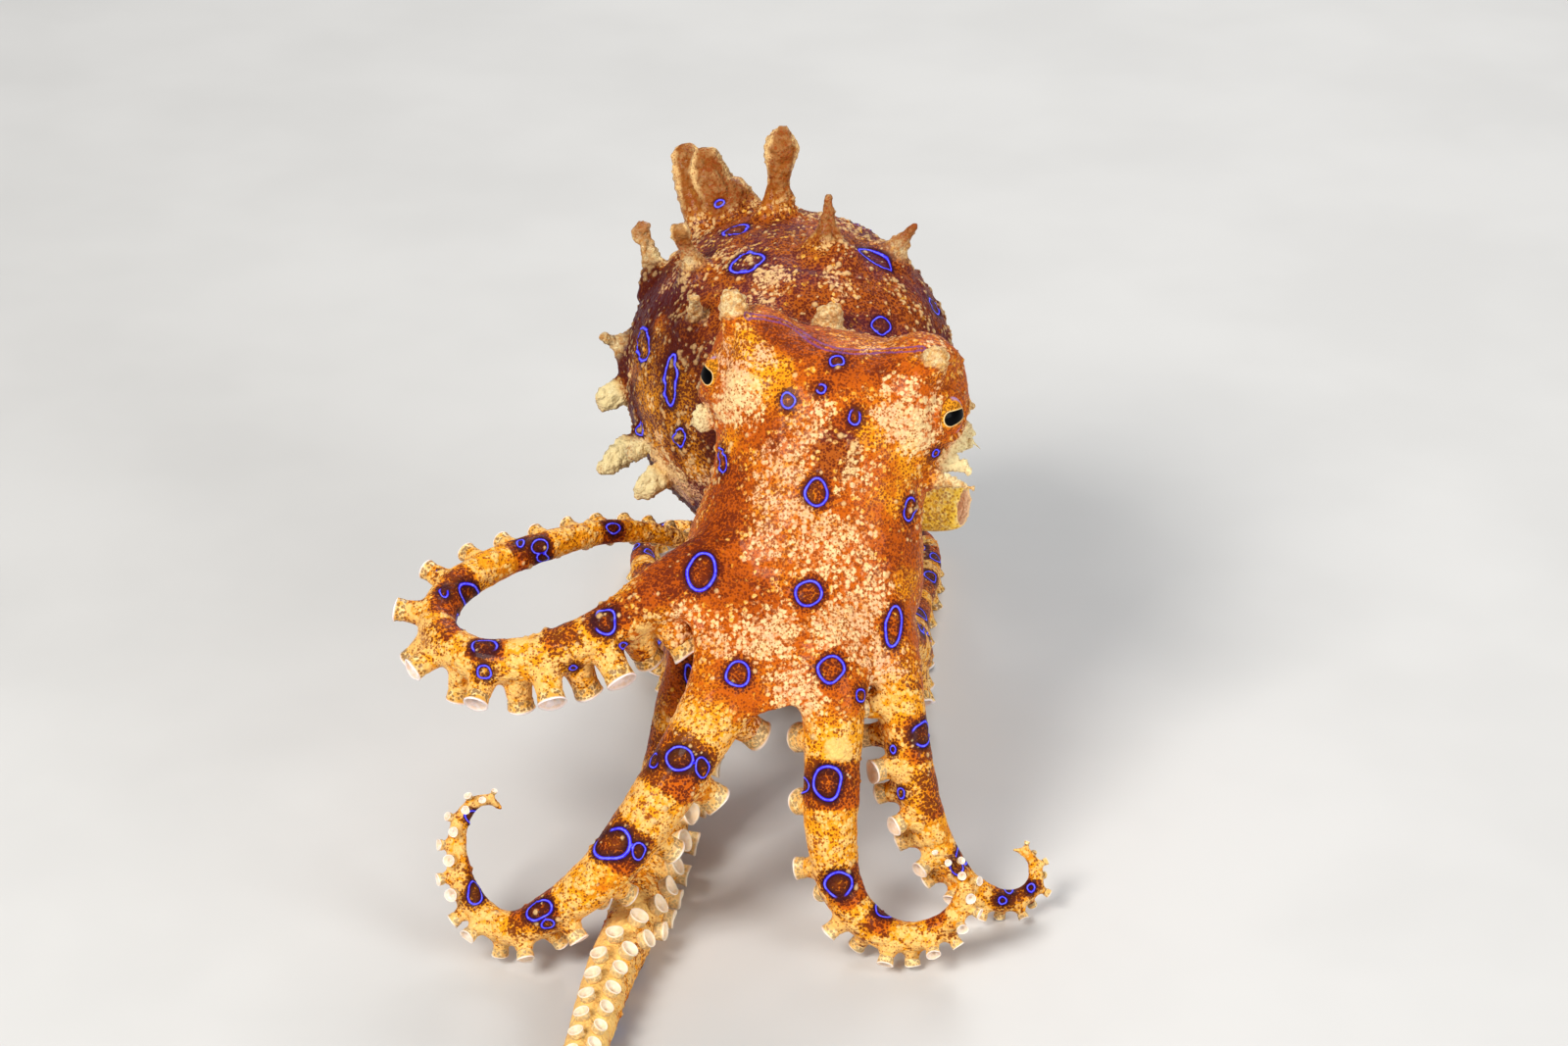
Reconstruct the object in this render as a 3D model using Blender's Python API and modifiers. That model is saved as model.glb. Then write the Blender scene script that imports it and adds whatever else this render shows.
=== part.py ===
"""Blue ringed octopus, life size: a still model that stands on its arms with the mantle held out behind.

Sizes are in millimetres and MM turns them into Blender's metres. +Z is up, the animal faces -Y, its left
side is at +X, and the floor is at z = 0. Each sub-part is one closed object, and neighbours keep SEAM
between them.
"""

import math

import bmesh
import bpy
import numpy as np
from mathutils import Matrix, Vector

MM = 0.001
WELD = 0.01
SEAM = 0.3
NECK_SEAM = 0.4
SHARP_ANGLE = math.radians(40)
ANY_SIDE = Vector((0.3, 0.2, 1.0))
MODEL_CENTRE = Vector((-4.847, -1.648, 0.0))

# Head: the line from the eyes to the mouth leans forward and rolls to one side.
EYE_MIDPOINT = Vector((4.1, 0.0, 38.0))
HEAD_LEAN = math.radians(28)
HEAD_ROLL = math.radians(10)
HEAD_TURN = math.radians(8)
EYE_SPREAD = 6.8
EYE_BULGE = (4.5, 5.0, 5.5)
EYE_BULGE_ALONG = -0.8
EYE_BULGE_TOP = 0.9
EYE_RADIUS = 2.15
# How far each eye's centre lies to its side, towards the head's top and along the head, and the way that its
# pupil looks in the same three directions.
EYE_PLACE = (8.75, 1.4, 0.3)
EYE_LOOK = (0.86, 0.5, -0.08)
LID_WIDTH = 0.45
LID_OPENING = math.radians(50)
LID_LAP = 0.6
CROWN_START = 9.0
# Stations along the head: distance from the eye line, half width, half depth, shift towards the back of
# the animal.
HEAD_STATIONS = (
    (-5.3, 3.2, 2.4, 1.6),
    (-4.5, 6.2, 4.6, 1.3),
    (-2.6, 8.6, 6.4, 0.9),
    (0.0, 9.4, 7.2, 0.6),
    (4.0, 9.1, 7.2, 0.3),
    (8.0, 8.8, 7.0, 0.0),
    (12.5, 9.8, 7.2, 0.0),
    (16.0, 10.0, 7.2, 0.0),
    (19.0, 7.6, 6.0, 0.2),
    (20.8, 3.6, 3.2, 0.4),
)
HEAD_SIDES = 20

PAPILLA_SIDES = 6
PAPILLA_SINK = 0.8
# Papillae on the head: a point inside it (left, top, along), the way out to the skin, height, half width
# of the root and half width of the tip.
HEAD_PAPILLAE = (
    ((-6.8, 2.0, 0.2), (-0.35, 0.45, -1.0), 2.5, 1.1, 0.8),
    ((7.3, 3.6, 0.9), (0.2, 0.35, -1.0), 1.8, 1.0, 0.7),
    ((-6.6, -0.4, 3.2), (-1.0, 0.0, -0.4), 2.5, 1.0, 0.45),
    ((-6.6, -0.2, 2.8), (-1.0, 0.1, 0.3), 2.2, 0.9, 0.5),
    ((6.9, -1.0, -0.6), (1.0, -0.1, -0.1), 1.0, 0.7, 0.3),
    ((6.6, -1.2, 0.6), (1.0, -0.1, 0.1), 1.9, 0.9, 0.3),
    ((6.6, -1.0, 1.4), (1.0, -0.1, 0.15), 2.5, 1.2, 0.4),
    ((6.6, -0.8, 2.7), (1.0, 0.0, 0.3), 2.9, 1.3, 0.5),
    ((6.0, 0.4, 5.0), (1.0, 0.1, 0.1), 3.8, 0.9, 0.2),
)

# Mantle: an egg that narrows to a blunt point at the back.
MANTLE_CENTRE = Vector((0.4, 19.0, 30.8))
MANTLE_DROOP = math.radians(12)
MANTLE_TURN = math.radians(8)
MANTLE_HALF_LENGTH = 18.5
MANTLE_RADIUS = 14.2
MANTLE_SIDES = 24
MANTLE_RINGS = 15
MANTLE_FRONT_FULLNESS = 2.6
MANTLE_TIP_FULLNESS = 1.75
# Papillae on the mantle: share of its length, degrees round from the top towards the left, height, half
# width of the root, half width of the tip, and how far each leans towards the head and round the mantle.
MANTLE_PAPILLAE = (
    (0.22, -26, 8.0, 2.0, 0.7, (-0.2, 0.2)),
    (0.2, -20, 6.8, 2.0, 0.7, (0.0, 0.1)),
    (0.18, -14, 3.6, 2.0, 0.6, (-0.15, -0.2)),
    (-0.07, -3, 7.8, 1.7, 1.1, (-0.05, 0.15)),
    (-0.5, 10, 4.6, 1.5, 0.25, (-0.35, -0.1)),
    (-0.34, 36, 4.0, 1.4, 0.25, (0.15, 0.0)),
    (0.19, -51, 4.8, 1.4, 0.45, (-0.2, 0.6)),
    (-0.36, -38, 5.0, 1.5, 0.5, (0.05, 0.3)),
    (-0.61, -50, 3.4, 1.0, 0.4, (0.35, 0.7)),
    (-0.88, 11, 2.8, 1.3, 0.8, (-0.45, -0.3)),
    (0.05, -78, 2.8, 1.4, 0.3, (0.15, 0.25)),
    (0.02, -92, 3.0, 1.2, 0.6, (0.05, -0.5)),
    (-0.15, -108, 4.8, 1.2, 0.5, (0.25, -0.25)),
    (-0.46, -116, 3.4, 1.2, 0.5, (-0.1, -0.15)),
    (-0.3, -104, 2.4, 1.0, 0.5, (0.35, -1.0)),
    (0.6, -62, 2.3, 0.9, 0.3, (0.0, 0.0)),
    (0.84, -28, 2.7, 1.0, 0.3, (0.0, 0.0)),
    (0.86, 40, 2.7, 1.0, 0.3, (0.0, 0.0)),
    (0.58, 64, 3.5, 1.2, 0.35, (0.0, 0.0)),
    (0.5, 98, 3.3, 1.1, 0.35, (0.0, 0.0)),
    (0.2, 124, 3.3, 1.1, 0.4, (0.0, 0.0)),
    (0.62, -118, 2.7, 1.0, 0.4, (0.0, 0.0)),
)

# Funnel: the tube that the animal breathes out through, bent round to its left side.
FUNNEL_PATH = ((5.0, 5.0, 27.4), (9.0, 3.2, 27.3), (12.4, 0.9, 27.5), (15.6, -0.3, 27.7))
FUNNEL_RADII = (3.5, 3.3, 3.0, 2.75, 2.5, 1.95)
FUNNEL_CLEARANCE = 0.48
FUNNEL_BORE = 1.45
FUNNEL_BORE_NARROWING = 0.7
FUNNEL_BORE_DEPTH = 3.2

# Arms: radius against the share of the arm's length, then each arm's way to its tip.
ARM_STEP = 2.4
ARM_LEAST_RINGS = 4
JOINT_DRUM = 2.1
ARM_TAPER = ((0.0, 3.2), (0.15, 2.95), (0.35, 2.4), (0.6, 1.75), (0.8, 1.15), (0.93, 0.7), (1.0, 0.42))
CROWN_REACH = 15.0
WEB_REACH = 14.6
LIP_RADIUS = 1.9
LIP_THICKNESS = 0.7
MOUTH_DEPTH = 2.0
MOUTH_RADIUS = 1.5
THROAT_RADIUS = 0.2
WEB_START = 1.5
WEB_SCALLOP = 0.38
WEB_THICKNESS = 1.3
WEB_HEIGHT = 0.4
WEB_SWELL = 0.5

# Suckers: sizes are shares of the arm's radius where each one sits, apart from SUCKERS_START,
# SUCKER_LEAST_STEP and SUCKERS_END, which are distances along the arm. SUCKER_SLACK is the share of its
# width that a sucker keeps where the arm doesn't hold it out.
SUCKERS_START = 8.0
SUCKERS_END = 0.8
SUCKER_STEP = 1.3
SUCKER_LEAST_STEP = 1.5
SUCKER_RIM = 0.58
SUCKER_NECK = 0.42
SUCKER_HEIGHT = 0.85
SUCKER_ROOT = 0.35
SUCKER_SLACK = 0.55
SUCKER_LIP = 0.2
SUCKER_CUP = 0.28
SUCKER_SPLAY = 0.42
SUCKER_SIDES = 6
SMALL_SUCKER_SIDES = 5
SMALL_SUCKER = 1.1

# way: points on the arm's centre line. oral: share of the length and the direction that the suckers face
# there. joins: the shares of the free arm at which it is parted into base, middle and tip. thickness:
# swell of the radius at the mouth and along the free arm. stretch: how far its suckers are held out.
ARMS = {
    "arm_right_1": dict(
        way=((-1.2, -10.1, 25.5), (-3.4, -14.6, 23.3), (-5.1, -18.4, 20.2), (-7.8, -21.8, 16.6),
             (-10.8, -24.6, 13.0), (-14.2, -26.4, 9.0), (-18.2, -26.8, 5.6), (-22.0, -26.2, 3.4),
             (-25.0, -24.4, 4.8), (-26.2, -22.4, 8.0), (-25.6, -20.6, 10.8), (-23.8, -19.8, 11.6),
             (-22.4, -20.2, 10.6)),
        oral=((0.0, (0.2, 0.9, -0.3)), (0.3, (0.7, 0.7, -0.1)), (0.53, (0.8, 0.5, 0.1)),
              (0.64, (0.0, -0.3, -1.0)), (0.72, (-0.5, -0.3, -0.9)), (0.8, (-0.9, -0.7, 0.1)),
              (0.9, (-0.5, -0.6, 0.8)), (1.0, (0.8, -0.3, 0.6))),
        joins=(0.38, 0.66), thickness=(1.12, 1.1), stretch=0.65),
    "arm_right_2": dict(
        way=((-2.0, -7.1, 24.9), (-5.2, -9.8, 27.2), (-9.0, -12.2, 26.8), (-14.5, -15.0, 24.2),
             (-20.3, -16.2, 22.4), (-25.0, -15.2, 22.0), (-28.0, -11.6, 22.4), (-27.4, -7.4, 23.4),
             (-24.0, -3.9, 24.2), (-19.6, -0.5, 24.3), (-14.4, 2.9, 23.8), (-9.4, 5.8, 21.6),
             (-5.2, 8.4, 17.6), (-2.0, 11.4, 14.6), (0.6, 14.6, 13.4)),
        oral=((0.0, (0.1, 0.8, -0.6)), (0.2, (0.0, -0.45, -0.9)), (0.36, (-0.2, -0.55, -0.8)),
              (0.44, (-1.0, -0.2, -0.3)), (0.5, (-0.8, 0.6, -0.2)), (0.58, (-0.3, 1.0, -0.4)),
              (1.0, (0.2, 1.0, -0.45))),
        joins=(0.26, 0.5), thickness=(1.15, 0.84), stretch=1.0),
    "arm_right_3": dict(
        way=((-1.6, -5.2, 21.4), (-5.2, -5.6, 18.6), (-7.6, -7.0, 14.2), (-8.9, -8.2, 9.0),
             (-10.2, -10.6, 4.6), (-11.2, -15.8, 2.3), (-12.2, -23.4, 2.1), (-13.7, -30.4, 2.0),
             (-14.8, -37.2, 1.8), (-15.6, -44.4, 1.6), (-14.6, -51.0, 1.35), (-10.2, -55.2, 1.2),
             (-4.8, -55.2, 1.0), (-2.0, -51.6, 0.8), (-4.0, -48.6, 0.6)),
        oral=((0.0, (0.3, -0.6, -0.7)), (0.2, (0.9, -0.5, 0.0)), (0.4, (1.0, -0.2, 0.2)),
              (0.5, (0.1, -0.2, 1.0)), (1.0, (0.1, 0.0, 1.0))),
        joins=(0.34, 0.68), thickness=(1.05, 1.03), stretch=0.25),
    "arm_right_4": dict(
        way=((-1.6, -3.4, 20.6), (-4.6, 0.2, 17.0), (-6.6, 4.8, 12.2), (-8.0, 10.6, 7.2),
             (-9.4, 17.6, 4.2), (-11.2, 25.4, 3.2), (-12.8, 33.0, 2.5), (-13.4, 40.0, 1.95),
             (-11.0, 45.4, 1.5), (-7.2, 45.6, 1.1), (-6.4, 42.2, 0.7)),
        oral=((0.0, (0.2, -0.5, -0.8)), (0.3, (0.1, -0.4, -0.9)), (0.5, (0.0, 0.0, -1.0)),
              (1.0, (0.0, 0.0, -1.0))),
        joins=(0.36, 0.7), thickness=(1.0, 1.0), stretch=1.0),
    "arm_left_1": dict(
        way=((1.7, -10.1, 25.5), (3.1, -15.0, 23.6), (3.9, -18.5, 20.2), (3.8, -21.2, 15.2),
             (3.8, -23.2, 10.2), (4.8, -24.8, 5.8), (7.6, -26.0, 3.1), (11.2, -26.4, 2.9),
             (13.8, -26.2, 5.0), (14.4, -25.6, 7.6), (12.8, -25.2, 9.4), (10.9, -25.6, 8.8)),
        oral=((0.0, (-0.1, 0.9, -0.3)), (0.35, (-0.3, 0.8, -0.4)), (0.52, (-0.2, 0.0, -1.0)),
              (0.68, (0.4, -0.3, -0.8)), (0.82, (0.9, -0.4, 0.4)), (1.0, (-0.6, -0.5, 0.5))),
        joins=(0.34, 0.66), thickness=(1.0, 1.05), stretch=0.65),
    "arm_left_2": dict(
        way=((3.6, -7.1, 24.7), (6.9, -10.3, 24.9), (8.5, -13.4, 22.2), (9.5, -16.4, 17.5),
             (10.5, -18.4, 12.4), (12.5, -19.6, 6.8), (15.4, -19.8, 2.9), (18.6, -20.0, 1.9),
             (20.6, -18.8, 2.9), (20.0, -17.6, 4.8), (18.4, -18.0, 5.6)),
        oral=((0.0, (-0.3, 0.7, -0.6)), (0.3, (-0.9, -0.1, -0.3)), (0.5, (-0.8, -0.3, -0.5)),
              (0.66, (0.0, -0.3, -1.0)), (0.82, (0.8, -0.1, -0.6)), (1.0, (0.2, 0.9, 0.4))),
        joins=(0.36, 0.68), thickness=(1.0, 1.0), stretch=0.65),
    "arm_left_3": dict(
        way=((4.0, -4.4, 22.2), (6.2, -1.6, 19.2), (8.6, 2.8, 14.6), (10.4, 8.0, 9.4),
             (10.9, 14.0, 5.2), (11.2, 21.0, 3.6), (12.2, 28.6, 2.8), (13.6, 36.0, 2.2),
             (13.2, 42.8, 1.7), (9.6, 46.4, 1.3), (6.4, 44.4, 1.0), (7.4, 41.2, 0.7)),
        oral=((0.0, (-0.3, -0.5, -0.8)), (0.3, (-0.1, -0.4, -0.9)), (0.5, (0.0, 0.0, -1.0)),
              (1.0, (0.0, 0.0, -1.0))),
        joins=(0.36, 0.7), thickness=(1.0, 1.0), stretch=1.0),
    "arm_left_4": dict(
        way=((2.4, -3.0, 20.4), (3.2, 1.2, 16.6), (3.0, 6.4, 12.0), (2.6, 12.4, 6.8), (2.4, 19.2, 4.0),
             (2.0, 27.0, 3.0), (1.0, 35.0, 2.35), (-1.0, 42.4, 1.8), (-2.6, 48.8, 1.4),
             (0.2, 52.6, 1.05), (3.6, 51.0, 0.7)),
        oral=((0.0, (0.0, -0.5, -0.8)), (0.3, (0.0, -0.4, -0.9)), (0.5, (0.0, 0.0, -1.0)),
              (1.0, (0.0, 0.0, -1.0))),
        joins=(0.36, 0.7), thickness=(1.0, 1.0), stretch=1.0),
}
ARM_RING = ("arm_right_1", "arm_right_2", "arm_right_3", "arm_right_4",
            "arm_left_4", "arm_left_3", "arm_left_2", "arm_left_1")


def remove(objects):
    for obj in list(objects):
        bpy.data.objects.remove(obj, do_unlink=True)


def new_collection(name):
    made = bpy.data.collections.new(name)
    bpy.context.scene.collection.children.link(made)
    return made


def skin_material(name, colour, roughness):
    made = bpy.data.materials.new(name)
    made.use_nodes = True
    shader = made.node_tree.nodes["Principled BSDF"]
    shader.inputs["Base Color"].default_value = (*colour, 1.0)
    shader.inputs["Roughness"].default_value = roughness
    shader.inputs["Metallic"].default_value = 0.0
    return made


def object_from(bm, name, collection):
    mesh = bpy.data.meshes.new(name)
    bm.normal_update()
    bmesh.ops.recalc_face_normals(bm, faces=bm.faces)
    bm.to_mesh(mesh)
    bm.free()
    obj = bpy.data.objects.new(name, mesh)
    collection.objects.link(obj)
    return obj


def head_frame():
    """Axis from the eyes to the mouth, direction that the top of the head faces, and the animal's left."""
    axis = Vector((-math.sin(HEAD_ROLL),
                   -math.cos(HEAD_ROLL) * math.sin(HEAD_LEAN),
                   -math.cos(HEAD_ROLL) * math.cos(HEAD_LEAN)))
    top = Vector((0.0, -math.cos(HEAD_LEAN), math.sin(HEAD_LEAN)))
    left = top.cross(axis)
    turn = Matrix.Rotation(HEAD_TURN, 3, axis)
    return axis, turn @ top, turn @ left


HEAD_AXIS, HEAD_TOP, HEAD_LEFT = head_frame()


def head_point(along, left, top):
    return EYE_MIDPOINT + HEAD_AXIS * along + HEAD_LEFT * left + HEAD_TOP * top


def mantle_frame():
    """Direction from the neck to the tip, the mantle's left and its top."""
    back = Vector((-math.sin(MANTLE_TURN) * math.cos(MANTLE_DROOP),
                   math.cos(MANTLE_TURN) * math.cos(MANTLE_DROOP),
                   -math.sin(MANTLE_DROOP)))
    left = back.cross(Vector((0, 0, 1))).normalized()
    return back, left, left.cross(back)


MANTLE_BACK, MANTLE_LEFT, MANTLE_UP = mantle_frame()


def mantle_radius(share):
    """Radius of the mantle against its length, from -1 at the neck to 1 at the tip."""
    power = MANTLE_FRONT_FULLNESS if share < 0 else MANTLE_TIP_FULLNESS
    return MANTLE_RADIUS * max(0.0, 1 - abs(share) ** power) ** 0.5


def mantle_point(share, angle, lift=0.0):
    """A point on the mantle: angle 0 is the top, and it grows towards the animal's left."""
    radius = mantle_radius(share) + lift
    across = MANTLE_LEFT * math.sin(angle) + MANTLE_UP * math.cos(angle)
    return MANTLE_CENTRE + MANTLE_BACK * MANTLE_HALF_LENGTH * share + across * radius


def smooth_way(points, step):
    """Points a step apart along one smooth curve through the given ones, with its total length."""
    samples = 24
    points = np.array(points, float)
    knots = np.concatenate([[0], np.cumsum(np.linalg.norm(np.diff(points, axis=0), axis=1) ** 0.5)])
    padded = np.vstack([2 * points[0] - points[1], points, 2 * points[-1] - points[-2]])
    times = np.concatenate([[-knots[1]], knots, [2 * knots[-1] - knots[-2]]])
    dense = []
    for i in range(1, len(padded) - 2):
        t0, t1, t2, t3 = times[i - 1:i + 3]
        p0, p1, p2, p3 = padded[i - 1:i + 3]
        for t in np.linspace(t1, t2, samples, endpoint=False):
            a1 = (t1 - t) / (t1 - t0) * p0 + (t - t0) / (t1 - t0) * p1
            a2 = (t2 - t) / (t2 - t1) * p1 + (t - t1) / (t2 - t1) * p2
            a3 = (t3 - t) / (t3 - t2) * p2 + (t - t2) / (t3 - t2) * p3
            b1 = (t2 - t) / (t2 - t0) * a1 + (t - t0) / (t2 - t0) * a2
            b2 = (t3 - t) / (t3 - t1) * a2 + (t - t1) / (t3 - t1) * a3
            dense.append((t2 - t) / (t2 - t1) * b1 + (t - t1) / (t2 - t1) * b2)
    dense = np.array(dense + [points[-1]])
    length = np.concatenate([[0], np.cumsum(np.linalg.norm(np.diff(dense, axis=0), axis=1))])
    even = np.linspace(0, length[-1], max(4, round(length[-1] / step) + 1))
    return np.column_stack([np.interp(even, length, dense[:, k]) for k in range(3)]), length[-1]


class Arm:
    """One arm's centre line, with its radius and its suckers' direction at any distance from the mouth."""

    def __init__(self, way, oral, joins, thickness, stretch):
        fine_step = 0.25
        self.points, self.length = smooth_way(way, fine_step)
        self.at = np.linspace(0, self.length, len(self.points))
        self.oral = oral
        self.thickness = thickness
        self.stretch = stretch
        free = self.length - CROWN_REACH
        self.joints = [self.part_at(CROWN_REACH + free * join) for join in (0.0, *joins)]

    def point(self, distance):
        return Vector([np.interp(distance, self.at, self.points[:, k]) for k in range(3)])

    def tangent(self, distance):
        reach = 0.6
        return (self.point(distance + reach) - self.point(distance - reach)).normalized()

    def radius(self, distance):
        shares, radii = zip(*ARM_TAPER)
        swell = np.interp(distance, (0, CROWN_REACH), self.thickness)
        return float(swell * np.interp(distance / self.length, shares, radii))

    def facing(self, distance):
        """The suckers' direction, square to the arm."""
        shares = [share for share, _ in self.oral]
        ways = [way for _, way in self.oral]
        share = distance / self.length
        mixed = Vector([np.interp(share, shares, [way[k] for way in ways]) for k in range(3)])
        along = self.tangent(distance)
        return (mixed - along * mixed.dot(along)).normalized()

    def back(self, distance):
        """The line on the side away from the suckers from which the web grows."""
        return self.point(distance) - self.facing(distance) * self.radius(distance) * WEB_HEIGHT

    def part_at(self, distance):
        """The first place past this distance that lies midway between two suckers."""
        places = sucker_places(self)
        return next((a + b) / 2 for a, b in zip(places, places[1:]) if a + b > 2 * distance)


def tube(name, points, radii, collection, resolution=2):
    """A tapering tube along the points, closed by flat ends, as a mesh."""
    curve = bpy.data.curves.new(name, "CURVE")
    curve.dimensions = "3D"
    curve.bevel_depth = MM
    curve.bevel_resolution = resolution
    curve.use_fill_caps = True
    spline = curve.splines.new("POLY")
    spline.points.add(len(points) - 1)
    for knot, point, radius in zip(spline.points, points, radii):
        knot.co = (*(Vector(point) * MM), 1.0)
        knot.radius = radius
    curved = bpy.data.objects.new(name, curve)
    collection.objects.link(curved)
    mesh = as_mesh(curved)
    bpy.data.objects.remove(curved, do_unlink=True)
    made = bpy.data.objects.new(name, mesh)
    collection.objects.link(made)
    bm = bmesh.new()
    bm.from_mesh(mesh)
    bmesh.ops.remove_doubles(bm, verts=bm.verts, dist=WELD * MM)
    bmesh.ops.recalc_face_normals(bm, faces=bm.faces)
    bm.to_mesh(mesh)
    bm.free()
    return made


def as_mesh(obj):
    bpy.context.view_layer.update()
    graph = bpy.context.evaluated_depsgraph_get()
    return bpy.data.meshes.new_from_object(obj.evaluated_get(graph))


def keep_largest(mesh):
    """Drops all but the largest closed surface of a mesh."""
    bm = bmesh.new()
    bm.from_mesh(mesh)
    left = set(bm.faces)
    shells = []
    while left:
        stack = [left.pop()]
        shell = []
        while stack:
            face = stack.pop()
            shell.append(face)
            for edge in face.edges:
                for other in edge.link_faces:
                    if other in left:
                        left.remove(other)
                        stack.append(other)
        shells.append(shell)
    shells.sort(key=lambda faces: sum(face.calc_area() for face in faces))
    drop = [face for shell in shells[:-1] for face in shell]
    bmesh.ops.delete(bm, geom=drop, context="FACES")
    bm.to_mesh(mesh)
    bm.free()


def boolean(obj, operation, other, solver):
    step = obj.modifiers.new(operation.title(), "BOOLEAN")
    step.operation = operation
    step.solver = solver
    if isinstance(other, bpy.types.Collection):
        step.operand_type = "COLLECTION"
        step.collection = other
    else:
        step.object = other
    mesh = as_mesh(obj)
    obj.modifiers.remove(step)
    obj.data = mesh


def fuse(obj, pieces, cutters=(), solver="MANIFOLD"):
    """Joins the pieces to obj with one union, cuts it, and keeps its largest closed surface."""
    if pieces.objects:
        boolean(obj, "UNION", pieces, solver)
    for cutter in cutters:
        boolean(obj, "DIFFERENCE", cutter, solver)
    remove([*pieces.objects, *cutters])
    bpy.data.collections.remove(pieces)
    keep_largest(obj.data)
    return obj


def finish(obj, name, material, collection):
    for owner in list(obj.users_collection):
        owner.objects.unlink(obj)
    collection.objects.link(obj)
    obj.name = name
    obj.data.name = name
    obj.data.materials.clear()
    obj.data.materials.append(material)
    obj.data.shade_smooth()
    obj.data.set_sharp_from_angle(angle=SHARP_ANGLE)
    return obj


def frame_matrix(origin, ahead, side):
    """A placement with +Z along ahead and +X near side."""
    z = ahead.normalized()
    x = (side - z * side.dot(z)).normalized()
    y = z.cross(x)
    turn = Matrix((x, y, z)).transposed().to_4x4()
    return Matrix.Translation(origin * MM) @ turn


def cone(name, start, ahead, side, depth, radius, end_radius, sides, collection):
    """A closed cone or drum that starts at a point and runs ahead; both radii may be alike."""
    place = frame_matrix(start, ahead, side) @ Matrix.Translation((0, 0, depth / 2 * MM))
    bm = bmesh.new()
    bmesh.ops.create_cone(bm, cap_ends=True, segments=sides, radius1=radius * MM,
                          radius2=end_radius * MM, depth=depth * MM, matrix=place)
    return object_from(bm, name, collection)


def spike(name, root, ahead, height, width, blunt, collection):
    """A papilla: a tapering six-sided point of skin with its root sunk below the surface."""
    root = root - ahead * PAPILLA_SINK
    return cone(name, root, ahead, ANY_SIDE, height + PAPILLA_SINK, width, blunt, PAPILLA_SIDES, collection)


def sucker(name, arm, distance, side, collection):
    """One stalked cup on the oral side of an arm, set to one side of the middle line."""
    size = arm.radius(distance)
    face = arm.facing(distance)
    along = arm.tangent(distance)
    across = face.cross(along)
    lean = (face + across * side * SUCKER_SPLAY).normalized()
    root = arm.point(distance) + lean * size * SUCKER_ROOT
    depth = size * (1 + SUCKER_HEIGHT * arm.stretch - SUCKER_ROOT)
    width = size * (SUCKER_SLACK + (1 - SUCKER_SLACK) * arm.stretch)
    sides = SMALL_SUCKER_SIDES if size < SMALL_SUCKER else SUCKER_SIDES
    cup = cone(name, root, lean, along, depth, width * SUCKER_NECK, width * SUCKER_RIM, sides, collection)
    if size < SMALL_SUCKER:
        return cup
    bm = bmesh.new()
    bm.from_mesh(cup.data)
    bm.normal_update()
    mouth = max(bm.faces, key=lambda face: face.calc_center_median().dot(lean))
    bmesh.ops.inset_region(bm, faces=[mouth], thickness=width * SUCKER_LIP * MM)
    bmesh.ops.translate(bm, verts=mouth.verts, vec=lean * -width * SUCKER_CUP * MM)
    bm.to_mesh(cup.data)
    bm.free()
    return cup


def sucker_places(arm):
    """Distances from the mouth at which the suckers sit, out to the tip."""
    places = []
    distance = SUCKERS_START
    while distance < arm.length - SUCKERS_END:
        places.append(distance)
        distance += max(SUCKER_LEAST_STEP, SUCKER_STEP * arm.radius(distance))
    return places


def loft(name, sections, collection):
    """A closed body through rings of equal count, with a fan over each end ring."""
    bm = bmesh.new()
    rings = [[bm.verts.new(point * MM) for point in ring] for ring in sections]
    for ring, following in zip(rings, rings[1:]):
        for i in range(len(ring)):
            j = (i + 1) % len(ring)
            bm.faces.new((ring[i], ring[j], following[j], following[i]))
    bm.faces.new(rings[0])
    bm.faces.new(rings[-1])
    return object_from(bm, name, collection)


def head_body(name, first, last, grow, collection):
    """The head's own body between two distances from the eye line, enlarged by grow all round."""
    least_gap = 0.4
    stations = np.array(HEAD_STATIONS)
    inner = [s for s in stations[:, 0] if first + least_gap < s < last - least_gap]
    sections = []
    for along in [first, *inner, last]:
        width, depth, shift = (np.interp(along, stations[:, 0], stations[:, k]) for k in (1, 2, 3))
        width += grow
        depth += grow
        ring = []
        for i in range(HEAD_SIDES):
            angle = 2 * math.pi * i / HEAD_SIDES
            ring.append(head_point(along, width * math.cos(angle), depth * math.sin(angle) - shift))
        sections.append(ring)
    return loft(name, sections, collection)


def mantle_body(name, collection):
    """The mantle from a UV sphere, with its rings set out along the egg's own outline."""
    bm = bmesh.new()
    bmesh.ops.create_uvsphere(bm, u_segments=MANTLE_SIDES, v_segments=MANTLE_RINGS, radius=1.0)
    for vert in bm.verts:
        share = vert.co.z
        angle = math.atan2(vert.co.x, vert.co.y)
        vert.co = mantle_point(share, angle) * MM
    return object_from(bm, name, collection)


def ball(name, centre, radii, matrix, collection, sides=14, rings=9):
    bm = bmesh.new()
    bmesh.ops.create_uvsphere(bm, u_segments=sides, v_segments=rings, radius=1.0)
    scale = Matrix.Diagonal((*(radius * MM for radius in radii), 1.0))
    place = Matrix.Translation(centre * MM) @ matrix.to_4x4() @ scale
    bmesh.ops.transform(bm, matrix=place, verts=bm.verts)
    return object_from(bm, name, collection)


def head_solid(name, last, grow, collection):
    """The head with its two eye bulges, down to last, enlarged by grow where it cuts its neighbours."""
    hidden = new_collection(name + " pieces")
    body = head_body(name, HEAD_STATIONS[0][0] - grow, last, grow, collection)
    turn = Matrix((HEAD_LEFT, HEAD_TOP, HEAD_AXIS)).transposed()
    for side in (-1, 1):
        centre = head_point(EYE_BULGE_ALONG, side * EYE_SPREAD, EYE_BULGE_TOP)
        ball("eye bulge", centre, [r + grow for r in EYE_BULGE], turn, hidden)
        if grow:
            eye, _ = eye_place(side)
            ball("lids", eye, [EYE_RADIUS + grow + 2 * LID_WIDTH] * 3, turn, hidden)
    return fuse(body, hidden)


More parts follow.
